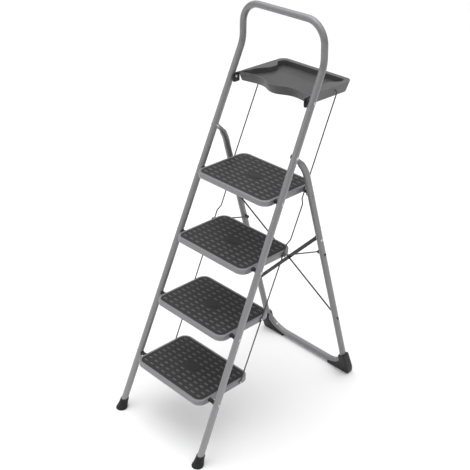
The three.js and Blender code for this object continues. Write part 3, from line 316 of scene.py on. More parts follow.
class Shell:
    """Collects the rings and fills of one piece's mesh, then makes the piece."""

    def __init__(self) -> None:
        """Starts an empty mesh."""
        self.points: list[Vector] = []
        self.faces: list[tuple[int, ...]] = []

    def ring(self, points: Sequence[Vector]) -> list[int]:
        """Adds points and gives their places in the mesh."""
        start = len(self.points)
        self.points.extend(Vector(point) for point in points)
        return list(range(start, len(self.points)))

    def wall(self, low: Sequence[int], high: Sequence[int]) -> None:
        """Joins two closed rings with the same number of points."""
        count = len(low)
        for i in range(count):
            j = (i + 1) % count
            self.faces.append((low[i], low[j], high[j], high[i]))

    def fill(self, outer: Sequence[int], *inner: Sequence[int]) -> None:
        """Fills a flat ring, leaving any inner rings open."""
        loops = [outer, *inner]
        places = [i for loop in loops for i in loop]
        for triangle in tessellate_polygon([[self.points[i] for i in loop] for loop in loops]):
            self.faces.append(tuple(places[i] for i in triangle))

    def loft(self, rings: Sequence[Sequence[Vector]], closed: bool = True) -> list[list[int]]:
        """Skins a row of rings.

        Args:
            rings: rings with the same number of points.
            closed: whether the first and last rings are filled.

        Returns:
            Each ring's places in the mesh.
        """
        placed = [self.ring(points) for points in rings]
        for low, high in zip(placed, placed[1:]):
            self.wall(low, high)
        if closed:
            self.faces.append(tuple(reversed(placed[0])))
            self.faces.append(tuple(placed[-1]))
        return placed

    def turned(self, centre: Vector, profile: Sequence[Pair], sides: int = 28) -> None:
        """A turned solid about an axis along X.

        Args:
            centre: a point of the axis.
            profile: [place along X from the centre, radius] from one end to the other.
            sides: how many sides the turned surface has.
        """
        self.loft([circle(centre + ALONG_X * place, ALONG_X, radius, sides) for place, radius in profile])

    def block(self, low: Vector, high: Vector) -> None:
        """A box between two corners."""
        base = [(low.x, low.y), (high.x, low.y), (high.x, high.y), (low.x, high.y)]
        self.loft([[Vector((x, y, z)) for x, y in base] for z in (low.z, high.z)])

    def mesh(self, name: str, crease: float = 32.0) -> bpy.types.Mesh:
        """The mesh, with its faces turned outward.

        Args:
            name: the mesh's name.
            crease: edges that turn more than this many degrees stay sharp.

        Returns:
            The new mesh.
        """
        mesh = bpy.data.meshes.new(name)
        mesh.from_pydata([tuple(point) for point in self.points], [], self.faces)
        work = bmesh.new()
        work.from_mesh(mesh)
        bmesh.ops.recalc_face_normals(work, faces=work.faces)
        work.to_mesh(mesh)
        work.free()
        mesh.polygons.foreach_set("use_smooth", [True] * len(mesh.polygons))
        mesh.set_sharp_from_angle(angle=math.radians(crease))
        return mesh

    def piece(self, name: str, finish: Finish, body: str, *nodes: str, edge: float = 0.0) -> bpy.types.Object:
        """Makes the piece and sets it on its body.

        Args:
            name: the piece's name.
            finish: what it is finished in.
            body: the body that it moves with.
            *nodes: the nodes that it stands for.
            edge: the width that its sharp edges are rounded to.

        Returns:
            The new piece.
        """
        made = placed(name, self.mesh(name))
        if edge:
            round_edges(made, edge, 3, 40)
        return settle(made, finish, body, *nodes)


def placed(name: str, data: bpy.types.ID) -> bpy.types.Object:
    """A new object in the scene."""
    made = bpy.data.objects.new(name, data)
    bpy.context.scene.collection.objects.link(made)
    return made


def round_edges(made: bpy.types.Object, width: float, steps: int, sharper_than: float) -> None:
    """Rounds an object's sharp edges.

    Args:
        made: the object.
        width: how wide the rounding is.
        steps: how many steps it has.
        sharper_than: the least turn of an edge that is rounded, in degrees.
    """
    rounding = made.modifiers.new("rounded_edges", "BEVEL")
    rounding.width = width
    rounding.segments = steps
    rounding.limit_method = "ANGLE"
    rounding.angle_limit = math.radians(sharper_than)


def settle(made: bpy.types.Object, finish: Finish, body: str, *nodes: str) -> bpy.types.Object:
    """Finishes a piece and sets it on its body.

    Args:
        made: the piece.
        finish: what it is finished in.
        body: the body that it moves with.
        *nodes: the nodes that it stands for.

    Returns:
        The piece.
    """
    made.data.materials.clear()
    made.data.materials.append(finish.material())
    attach(made, body)
    if nodes:
        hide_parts(*nodes)
    LOG.info("%s: %d points, on %s", made.name, len(made.data.vertices), body)
    return made


def baked(made: bpy.types.Object) -> bpy.types.Object:
    """Applies a piece's modifiers to its mesh."""
    graph = bpy.context.evaluated_depsgraph_get()
    mesh = bpy.data.meshes.new_from_object(made.evaluated_get(graph))
    made.modifiers.clear()
    made.data = mesh
    return made


def circle(centre: Vector, axis: Vector, radius: float, sides: int) -> list[Vector]:
    """Points round an axis."""
    return oval(centre, axis, *crossing(axis), radius, radius, sides)


def crossing(axis: Vector) -> tuple[Vector, Vector]:
    """Two directions square to an axis and to each other."""
    first = axis.cross(ALONG_Z if abs(axis.z) < 0.9 else ALONG_X).normalized()
    return first, axis.cross(first).normalized()


def oval(
    centre: Vector, axis: Vector, across: Vector, up: Vector, half_across: float, half_up: float, sides: int
) -> list[Vector]:
    """Points of an oval.

    Args:
        centre: its middle.
        axis: the direction that it faces; the two half sizes lie square to it.
        across: the direction of its first half size.
        up: the direction of its second half size.
        half_across: its first half size.
        half_up: its second half size.
        sides: how many points it has.

    Returns:
        The points, in turning order.
    """
    points = []
    for i in range(sides):
        turn = 2 * math.pi * i / sides
        points.append(centre + across * (half_across * math.cos(turn)) + up * (half_up * math.sin(turn)))
    return points


def rounded(
    points: Sequence[Sequence[float]], radius: float, steps: int = 4, closed: bool = False
) -> list[Vector]:
    """Rounds a flat line's corners.

    Args:
        points: the corners.
        radius: how far from a corner its rounding starts, less where a run is short.
        steps: how many steps each rounding has.
        closed: whether the line closes on itself.

    Returns:
        The rounded line's points.
    """
    corners = [Vector(point) for point in points]
    count = len(corners)
    line = []
    for i, corner in enumerate(corners):
        if not closed and i in (0, count - 1):
            line.append(corner)
            continue
        before, after = corners[i - 1] - corner, corners[(i + 1) % count] - corner
        reach = min(radius, before.length * 0.49, after.length * 0.49)
        start, end = corner + before.normalized() * reach, corner + after.normalized() * reach
        for step in range(steps + 1):
            t = step / steps
            line.append(start * (1 - t) ** 2 + corner * (2 * t * (1 - t)) + end * t * t)
    return line


def eased(t: float) -> float:
    """A smooth rise from 0 to 1."""
    t = min(1.0, max(0.0, t))
    return t * t * (3 - 2 * t)


def mixed(low: float, high: float, t: float) -> float:
    """A value between two others."""
    return low + (high - low) * t


def smooth_line(points: Sequence[Vector], t: float) -> Vector:
    """A point on a smooth curve through others.

    Args:
        points: what the curve passes through.
        t: from 0 at the first point to 1 at the last.

    Returns:
        The curve's point.
    """
    place = t * (len(points) - 1)
    i = min(int(place), len(points) - 2)
    w = place - i
    a, b, c, d = (points[min(max(i + k, 0), len(points) - 1)] for k in (-1, 0, 1, 2))
    slope, turn, twist = c - a, a * 2 - b * 5 + c * 4 - d, b * 3 - c * 3 + d - a
    return b + slope * (w / 2) + turn * (w * w / 2) + twist * (w**3 / 2)


@dataclass(frozen=True)
class Route:
    """A route of straight runs joined by round bends."""

    corners: tuple[Vector, ...]
    radii: tuple[float, ...]
    bend_step: float = math.radians(4)

    def stations(self) -> list[Station]:
        """The points and directions where the route starts, turns and ends."""
        ends = self.corners[1] - self.corners[0], self.corners[-1] - self.corners[-2]
        found = [(self.corners[0], ends[0].normalized())]
        for i, radius in enumerate(self.radii, 1):
            found.extend(self.bend(*self.corners[i - 1 : i + 2], radius))
        return [*found, (self.corners[-1], ends[1].normalized())]

    def bend(self, before: Vector, corner: Vector, after: Vector, radius: float) -> list[Station]:
        """The points and directions round one bend.

        Args:
            before: the corner before it.
            corner: its own corner.
            after: the corner after it.
            radius: the bend's radius.

        Returns:
            The bend's points and directions.
        """
        back, ahead = (before - corner).normalized(), (after - corner).normalized()
        turn = math.pi - back.angle(ahead)
        start = corner + back * (radius * math.tan(turn / 2))
        centre = corner + (back + ahead).normalized() * (radius / math.cos(turn / 2))
        spoke = (start - centre).normalized()
        steps = max(2, math.ceil(turn / self.bend_step))
        stations = []
        for k in range(steps + 1):
            cosine, sine = math.cos(turn * k / steps), math.sin(turn * k / steps)
            point = centre + spoke * (radius * cosine) - back * (radius * sine)
            stations.append((point, -back * cosine - spoke * sine))
        return stations

    def at(self, distance: float) -> Station:
        """The point and direction at a distance from the start."""
        left = distance
        stations = self.stations()
        for (start, first), (end, last) in zip(stations, stations[1:]):
            run = (end - start).length
            if left <= run:
                return start.lerp(end, left / run), first.lerp(last, left / run).normalized()
            left -= run
        return stations[-1]

    def length(self) -> float:
        """The route's whole length."""
        stations = self.stations()
        return sum((b[0] - a[0]).length for a, b in zip(stations, stations[1:]))

    def tube(self, shell: Shell, radius: float, sides: int = 28) -> None:
        """Adds a round bar along the route."""
        shell.loft(swept(self.stations(), lambda _: (radius, radius), sides))


def swept(
    stations: Sequence[Station], halves: Callable[[int], Pair], sides: int
) -> list[list[Vector]]:
    """Rings along a route, without twist.

    Args:
        stations: the route's points and directions.
        halves: gives a station's half sizes across and up.
        sides: how many points a ring has.

    Returns:
        One ring for each station.
    """
    across = ALONG_X - stations[0][1] * stations[0][1].dot(ALONG_X)
    if across.length < 0.1:
        across = crossing(stations[0][1])[0]
    rings = []
    for i, (point, direction) in enumerate(stations):
        across = (across - direction * across.dot(direction)).normalized()
        up = direction.cross(across)
        rings.append(oval(point, direction, across, up, *halves(i), sides))
    return rings


# ---- places taken from the frame --------------------------------------------------------------


def joint_place(name: str) -> Vector:
    """A joint's point at rest."""
    return Vector(next(joint["pos_m"] for joint in frame["joints"] if joint["name"] == name))


def middle(node: str) -> Vector:
    """The middle of a node's box."""
    low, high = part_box(node)
    return (low + high) / 2


def step_pivot(number: int) -> Vector:
    """A tread's front pivot."""
    return joint_place(f"step_{number}_fold")


@dataclass(frozen=True)
class RailLine:
    """The right rail's centreline, as x and y for a height."""

    low: Vector
    high: Vector

    @classmethod
    def measured(cls) -> "RailLine":
        """The line through the treads' pivots, as wide as the bushes reach."""
        ends = []
        for number in (STEP_NUMBERS[-1], STEP_NUMBERS[0]):
            point = step_pivot(number)
            point.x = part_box(f"step_bush_{number}_right")[1].x + CLEARANCE + TUBE_RADIUS
            ends.append(point)
        return cls(*ends)

    def at(self, height: float, side: Side = Side.RIGHT) -> Vector:
        """The centreline's point at a height."""
        share = (height - self.low.z) / (self.high.z - self.low.z)
        point = self.low + (self.high - self.low) * share
        return Vector((point.x * side.value, point.y, height))

    def height_at(self, y: float) -> float:
        """The height where the line reaches a y."""
        return mixed(self.low.z, self.high.z, (y - self.low.y) / (self.high.y - self.low.y))


@dataclass(frozen=True)
class LegPlane:
    """The plane of the rear legs: x across, along up the legs from the floor, forward out of it."""

    foot: Vector
    up: Vector
    forward: Vector
    wide: Pair
    heights: Pair

    @classmethod
    def measured(cls) -> "LegPlane":
        """The plane through the link pins and the pegs."""
        head = TUBE_RADIUS + CLEARANCE + HEAD_HEIGHT
        link, peg = joint_place("link_right_turn"), middle("leg_peg_right")
        up = Vector((0, peg.y - link.y, peg.z - link.z)).normalized()
        foot = Vector((0, link.y, link.z)) - up * (link.z / up.z)
        wide = tuple(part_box(node)[1].x - head for node in ("link_pin_right", "leg_peg_right"))
        return cls(foot, up, Vector((0, -up.z, up.y)), wide, (link.z / up.z, peg.z / up.z))

    def half_width(self, along: float) -> float:
        """How far from the middle a leg's centreline is."""
        share = (along - self.heights[0]) / (self.heights[1] - self.heights[0])
        return mixed(self.wide[0], self.wide[1], share)

    def point(self, x: float, along: float, forward: float = 0.0) -> Vector:
        """A point given in the plane's own sizes."""
        return Vector((x, 0, 0)) + self.foot + self.up * along + self.forward * forward

    def along(self, place: Vector) -> float:
        """How far up the legs a point is."""
        return (place - self.foot).dot(self.up)

    def ahead(self, place: Vector) -> float:
        """How far forward of the legs a point is."""
        return (place - self.foot).dot(self.forward)


RAIL = RailLine.measured()
LEGS = LegPlane.measured()


# ---- fasteners --------------------------------------------------------------------------------


@dataclass(frozen=True)
class Fasteners:
    """The rivets and pins, each turned about its own axis and as long as its node."""

    flat_height: float = 1.4 * MM
    flat_share: float = 0.92
    spot_radius: float = 4.2 * MM
    spot_height: float = 1.6 * MM
    spot_sunk: float = 0.4 * MM

    def dome(self, start: float, radius: float, height: float, away: float) -> list[Pair]:
        """A domed head's profile, from its rim to its crown.

        Args:
            start: the place of its flat side.
            radius: its radius.
            height: how high it stands.
            away: which way along X it stands, 1 or -1.

        Returns:
            Places and radii.
        """
        turns = [math.radians(angle) for angle in (0, 18, 36, 54, 70, 84)]
        rim = 0.25 * height
        arc = [(start + away * (rim + (height - rim) * math.sin(t)), radius * math.cos(t)) for t in turns]
        return [(start, radius), *arc]

    def build(self) -> None:
        """Makes every rivet and pin."""
        for side in Side:
            for number in STEP_NUMBERS:
                self.rivet(f"step_rivet_{number}_{side.label}", "front_frame", side)
                self.pin(f"rod_pin_{number}_{side.label}", f"step_{number}", side)
            self.rivet(f"leg_rivet_{side.label}", "front_frame", side)
            self.rivet(f"tray_rivet_{side.label}", "front_frame", side)
        self.rivet("bar_rivet_upper", "rear_frame", Side.RIGHT)
        self.rivet("bar_rivet_lower", "rear_frame", Side.LEFT)

    def rivet(self, node: str, body: str, side: Side) -> None:
        """A rivet with a domed head outside and a flat one inside.

        Args:
            node: the node that it stands for.
            body: the body that it moves with.
            side: the side that its domed head is on.
        """
        low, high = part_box(node)
        half = (high.x - low.x) / 2
        radius = (high.z - low.z) / 2
        crown = self.dome(side.value * (half - HEAD_HEIGHT), radius, HEAD_HEIGHT, side.value)
        flat_start = -side.value * (half - self.flat_height)
        inner = self.dome(flat_start, radius * self.flat_share, self.flat_height, -side.value)
        shank = [(end[0][0], SHANK_RADIUS) for end in (inner, crown)]
        shell = Shell()
        shell.turned((low + high) / 2, [*reversed(inner), *shank, *crown])
        shell.piece(f"{node}_turned", STEEL, body, node)

    def pin(self, node: str, body: str, side: Side) -> None:
        """A tread's rear pin, with a low head at each end.

        Args:
            node: the node that it stands for.
            body: the body that it moves with.
            side: the side that it is on.
        """
        low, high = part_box(node)
        half = (high.x - low.x) / 2
        ends = [
            self.dome(way * (half - PIN_HEAD_HEIGHT), PIN_HEAD_RADIUS, PIN_HEAD_HEIGHT, way)
            for way in (-side.value, side.value)
        ]
        shank = [(end[0][0], PIN_RADIUS) for end in ends]
        shell = Shell()
        shell.turned((low + high) / 2, [*reversed(ends[0]), *shank, *ends[1]])
        shell.piece(f"{node}_turned", STEEL, body, node)


# ---- front frame ------------------------------------------------------------------------------


@dataclass(frozen=True)
class FrontFrame:
    """The two leaning rails and their hoop handle, in one bent tube, with the feet and the bushes."""

    knee_radius: float = 120 * MM
    handle_radius: float = 80 * MM
    foot_base: float = 22.4 * MM
    foot_collar: float = 16.4 * MM
    foot_flutes: int = 10
    foot_flute_depth: float = 0.55 * MM
    foot_sides: int = 80
    bush_lip: float = 3 * MM
    bush_waist: float = 7.3 * MM

    def build(self) -> None:
        """Makes the tube, the feet and the bushes."""
        self.rails()
        for side in Side:
            self.foot(side)
            for number in STEP_NUMBERS:
                self.bush(f"step_bush_{number}_{side.label}")

    def rails(self) -> None:
        """The bent tube."""
        low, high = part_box("front_frame")
        knee_y = high.y - TUBE_RADIUS
        knee = RAIL.height_at(knee_y)
        top = high.z - TUBE_RADIUS
        start = low.z + TUBE_RADIUS * 0.4
        left, right = Side.LEFT, Side.RIGHT
        corners = (
            RAIL.at(start, left),
            RAIL.at(knee, left),
            self.upright(top, knee_y, left),
            self.upright(top, knee_y, right),
            RAIL.at(knee, right),
            RAIL.at(start, right),
        )
        route = Route(corners, (self.knee_radius, self.handle_radius, self.handle_radius, self.knee_radius))
        shell = Shell()
        route.tube(shell, TUBE_RADIUS, 36)
        shell.piece("rail_tube", SILVER, "front_frame", "front_frame")

    def upright(self, height: float, y: float, side: Side) -> Vector:
        """A point of the handle's upright, which keeps the rails' taper."""
        point = RAIL.at(height, side)
        point.y = y
        return point

    def foot(self, side: Side) -> None:
        """A flared rubber foot with shallow flutes round its bell."""
        node = f"front_foot_{side.label}"
        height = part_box(node)[1].z
        base, collar = self.foot_base, self.foot_collar
        profile = [
            (0, base * 0.62),
            (0, base - 1.6 * MM),
            (0.5 * MM, base - 0.5 * MM),
            (1.6 * MM, base),
            (height * 0.12, base),
            (height * 0.17, base - 0.9 * MM),
            (height * 0.34, base - 2.6 * MM),
            (height * 0.52, collar + 1.9 * MM),
            (height * 0.72, collar + 0.6 * MM),
            (height * 0.86, collar),
            (height * 0.95, collar),
            (height, collar - 0.8 * MM),
            (height, TUBE_RADIUS + CLEARANCE),
            (height * 0.9, TUBE_RADIUS + CLEARANCE),
        ]
        shell = Shell()
        shell.loft([self.foot_ring(side, place, radius, height) for place, radius in profile])
        shell.piece(f"{node}_rubber", BLACK, "front_frame", node)

    def foot_ring(self, side: Side, place: float, radius: float, height: float) -> list[Vector]:
        """One ring of the foot, fluted half way up."""
        centre = RAIL.at(place, side)
        depth = self.foot_flute_depth * math.sin(math.pi * min(1.0, place / (height * 0.86))) ** 2
        points = []
        for i in range(self.foot_sides):
            turn = 2 * math.pi * i / self.foot_sides
            reach = radius - depth * (1 + math.cos(self.foot_flutes * turn))
            points.append(centre + Vector((reach * math.cos(turn), reach * math.sin(turn), 0)))
        return points

    def bush(self, node: str) -> None:
        """A spacer bush with a ring at each end."""
        low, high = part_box(node)
        half = (high.x - low.x) / 2
        radius = (high.z - low.z) / 2
        lip = half - self.bush_lip
        profile = [
            (-half, radius * 0.55),
            (-half, radius),
            (-lip, radius),
            (-lip, self.bush_waist),
            (lip, self.bush_waist),
            (lip, radius),
            (half, radius),
            (half, radius * 0.55),
        ]
        soft = [(point.x, point.y) for point in rounded(profile, 0.8 * MM, 3)]
        shell = Shell()
        shell.turned((low + high) / 2, soft, 32)
        shell.piece(f"{node}_turned", BLACK, "front_frame", node)


# ---- treads -----------------------------------------------------------------------------------


@dataclass(frozen=True)
class Tread:
    """One tread: a pressed pan with a rolled rim, and a mat of raised ovals set in it."""

    number: int
    wall: float = 1.6 * MM
    corner: float = 35 * MM
    edge: float = 4 * MM
    rim: float = 9 * MM
    sunk: float = 2.9 * MM
    corner_steps: int = 14
    groove: float = 0.7 * MM
    stud_length: float = 10.5 * MM
    stud_width: float = 4.0 * MM
    stud_height: float = 1.8 * MM
    stud_pitch: Pair = (33.5 * MM, 22 * MM)
    badge: Pair = (32 * MM, 15 * MM)
    badge_margin: Pair = (8 * MM, 5 * MM)
    mat_gap: float = 0.6 * MM
    mat_dip: float = 0.35 * MM
    rest_upstand: float = 5 * MM

    def build(self) -> None:
        """Makes the pan, the mat and, on the top tread, the rests."""
        self.pan()
        self.mat()
        if self.number == 1:
            for side in Side:
                self.rest(side)

    @property
    def body(self) -> str:
        """The body that this tread is."""
        return f"step_{self.number}"

    def outline(self, inset: float, depth: float) -> list[Vector]:
        """The tread's outline drawn in by an inset, at a depth under its top face."""
        low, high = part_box(f"step_pan_{self.number}")
        radius = max(self.corner - inset, 1 * MM)
        inner_low = Vector((low.x + inset + radius, low.y + inset + radius))
        inner_high = Vector((high.x - inset - radius, high.y - inset - radius))
        centres = [
            (inner_high.x, inner_high.y),
            (inner_low.x, inner_high.y),
            (inner_low.x, inner_low.y),
            (inner_high.x, inner_low.y),
        ]
        points = []
        for quarter, (x, y) in enumerate(centres):
            for k in range(self.corner_steps + 1):
                turn = (quarter + k / self.corner_steps) * math.pi / 2
                reach = radius * math.cos(turn), radius * math.sin(turn)
                points.append(Vector((x + reach[0], y + reach[1], high.z - depth)))
        return points

    def pan(self) -> None:
        """The pressed pan, from the middle of its underside round its skirt and rim to its sunk floor."""
        node = f"step_pan_{self.number}"
        low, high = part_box(node)
        height = high.z - low.z
        shoulder = [
            (self.edge * (1 - math.sin(turn)), self.edge * (1 - math.cos(turn)))
            for turn in (math.radians(angle) for angle in (90, 72, 54, 36, 18, 0))
        ]
        middle_line = height * 0.56
        profile = [
            (self.wall, self.sunk + self.wall),
            (self.wall, height - 0.5 * MM),
            (self.wall * 0.5, height),
            (0.3 * MM, height - 0.3 * MM),
            (0, height - 1 * MM),
            (0, middle_line + 1.6 * MM),
            (self.groove, middle_line + 0.7 * MM),
            (self.groove, middle_line - 0.7 * MM),
            (0, middle_line - 1.6 * MM),
            *shoulder,
            (self.rim - 1.4 * MM, 0),
            (self.rim - 0.5 * MM, 0.35 * MM),
            (self.rim, 1.3 * MM),
            (self.rim, self.sunk),
        ]
        shell = Shell()
        shell.loft([self.outline(inset, depth) for inset, depth in profile])
        shell.piece(f"{node}_pressed", SILVER, self.body, node)

    def mat(self) -> None:
        """The mat, with its rows of raised ovals and a plain badge in the middle."""
        node = f"step_mat_{self.number}"
        low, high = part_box(node)
        thick = high.z - low.z
        inset = self.rim + self.mat_gap
        shell = Shell()
        shell.loft(
            [
                self.outline(inset, thick),
                self.outline(inset, 0.9 * MM),
                self.outline(inset + 0.35 * MM, 0.5 * MM),
                self.outline(inset + 1.1 * MM, self.mat_dip),
            ]
        )
        centre = (low + high) / 2
        face = high.z - self.mat_dip
        self.stud(shell, Vector((centre.x, centre.y, face)), *self.badge, 48)
        shell.piece(f"{node}_moulded", TREAD, self.body, node)
        # The ovals take the lighter copy of the rubber: a painted highlight on the studs' tops.
        studs = Shell()
        for x, y in self.stud_places(low, high):
            self.stud(studs, Vector((x, y, face)), self.stud_length, self.stud_width, 16)
        studs.piece(f"{node}_studs", STUD_PAINTED_HIGHLIGHT, self.body)

    def stud_places(self, low: Vector, high: Vector) -> list[Pair]:
        """Where the ovals stand: straight rows and columns that keep clear of the badge."""
        centre = (low + high) / 2
        clear = [half + margin for half, margin in zip(self.badge, self.badge_margin)]
        places = []
        for row in range(-STUD_ROWS, STUD_ROWS):
            for column in range(-STUD_ROWS, STUD_ROWS):
                x, y = (column + 0.5) * self.stud_pitch[0], (row + 0.5) * self.stud_pitch[1]
                away = Vector((x / clear[0], y / clear[1]))
                if away.length > 1:
                    places.append((centre.x + x, centre.y + y))
        return places

    def stud(self, shell: Shell, foot: Vector, half_x: float, half_y: float, sides: int) -> None:
        """One raised oval.

        Args:
            shell: the mesh that it joins.
            foot: the middle of its foot.
            half_x: its half length.
            half_y: its half width.
            sides: how many points its rings have.
        """
        profile = [(-0.2, 0.0), (0.0, 0.0), (0.65, 0.3), (0.92, 0.8), (1.0, 1.6)]
        rings = []
        for lift, draw in profile:
            inset = draw * MM
            centre = foot + ALONG_Z * (lift * self.stud_height)
            rings.append(oval(centre, ALONG_Z, ALONG_X, ALONG_Y, half_x - inset, half_y - inset, sides))
        shell.loft(rings)

    def rest(self, side: Side) -> None:
        """The block under the tread that sits on a leg's peg."""
        node = f"top_step_rest_{side.label}"
        low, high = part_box(node)
        pad_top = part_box("step_pan_1")[0].z - CLEARANCE
        inner = low.x if side is Side.RIGHT else high.x
        stand = inner + side.value * self.rest_upstand
        shell = Shell()
        shell.block(low, Vector((high.x, high.y, pad_top)))
        shell.block(
            Vector((min(inner, stand), low.y + 1 * MM, pad_top - 2 * MM)),
            Vector((max(inner, stand), high.y - 1 * MM, high.z)),
        )
        shell.piece(f"{node}_moulded", BLACK, self.body, node, edge=1.1 * MM)


# ---- rods and links ---------------------------------------------------------------------------


@dataclass(frozen=True)
class Linkage:
    """The wires that tie the treads, the tray and the rear legs together."""

    wire: float = 2.3 * MM
    eye: float = 6.5 * MM
    eye_recess: float = 1.8 * MM
    bow: float = 15.1 * MM
    bow_top: Pair = (34 * MM, 58 * MM)
    bow_bottom: Pair = (48 * MM, 36 * MM)
    tray_inset: float = 3.2 * MM
    hook: float = 17 * MM
    link_wire: float = 2.5 * MM
    sides: int = 16

    def build(self) -> None:
        """Makes the rods and the links."""
        for side in Side:
            self.rod(side)
            self.link(side)

    def rear_pivot(self, number: int) -> Vector:
        """A tread's rear pivot: as far behind its front one as the rods' joint is behind its own tread's."""
        span = joint_place("rod_right_turn") - step_pivot(LINK_STEP)
        return step_pivot(number) + span

    def rod(self, side: Side) -> None:
        """One connecting rod, with its eyes, its two bows and the hook at its top."""
        node = f"connecting_rod_{side.label}"
        x = max(abs(corner.x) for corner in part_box(node)) - self.wire
        hook = joint_place("tray_fold") + self.rear_pivot(1) - step_pivot(1)
        first, second, last = (self.rear_pivot(number).z for number in (1, LINK_STEP, STEP_NUMBERS[-1]))
        corners = (
            self.rod_point(side, hook.z, 0, x - self.tray_inset - self.hook),
            self.rod_point(side, hook.z, 0, x - self.tray_inset),
            self.rod_point(side, first, 0, x),
            self.rod_point(side, first - self.bow_top[0], 0, x),
            self.rod_point(side, first - self.bow_top[1], self.bow, x),
            self.rod_point(side, second + self.bow_bottom[0], self.bow, x),
            self.rod_point(side, second + self.bow_bottom[1], 0, x),
            self.rod_point(side, last, 0, x),
        )
        shell = Shell()
        radii = (self.wire * 4,) * (len(corners) - 2)
        Route(corners, radii, math.radians(8)).tube(shell, self.wire, self.sides)
        for number in STEP_NUMBERS:
            centre = self.rod_point(side, self.rear_pivot(number).z, 0, x)
            self.add_eye(shell, centre, side, self.wire, self.wire - self.eye_recess)
        shell.piece(f"{node}_wire", ZINC, f"rod_{side.label}", node)

    def rod_point(self, side: Side, height: float, bow: float, across: float) -> Vector:
        """A point beside the line through the treads' rear pivots.

        Args:
            side: the side that it is on.
            height: its height.
            bow: how far behind the line it is.
            across: how far from the middle it is.

        Returns:
            The point.
        """
        first, second = self.rear_pivot(1), self.rear_pivot(LINK_STEP)
        lean = (first.y - second.y) / (first.z - second.z)
        return Vector((side.value * across, first.y + lean * (height - first.z) + bow, height))

    def add_eye(self, shell: Shell, centre: Vector, side: Side, inside: float, outside: float) -> None:
        """Adds a flattened eye with soft edges.

        Args:
            shell: the mesh that it joins.
            centre: its middle.
            side: the side that it is on.
            inside: how far it reaches towards the middle of the stool.
            outside: how far it reaches away from it.
        """
        ends = sorted((-side.value * inside, side.value * outside))
        rim = [(ends[0], 0.4 * self.eye), (ends[0], self.eye), (ends[1], self.eye), (ends[1], 0.4 * self.eye)]
        shell.turned(centre, [(point.x, point.y) for point in rounded(rim, 0.7 * MM, 3)], 28)

    def link(self, side: Side) -> None:
        """One link, with an eye at each end."""
        node = f"step_link_{side.label}"
        x = middle(node).x
        ends = [self.rear_pivot(LINK_STEP), joint_place(f"link_{side.label}_turn")]
        for end in ends:
            end.x = x
        shell = Shell()
        Route(tuple(ends), ()).tube(shell, self.link_wire, self.sides)
        for end in ends:
            self.add_eye(shell, end, side, self.link_wire, self.link_wire)
        shell.piece(f"{node}_wire", ZINC, f"link_{side.label}", node)


# ---- rear frame -------------------------------------------------------------------------------


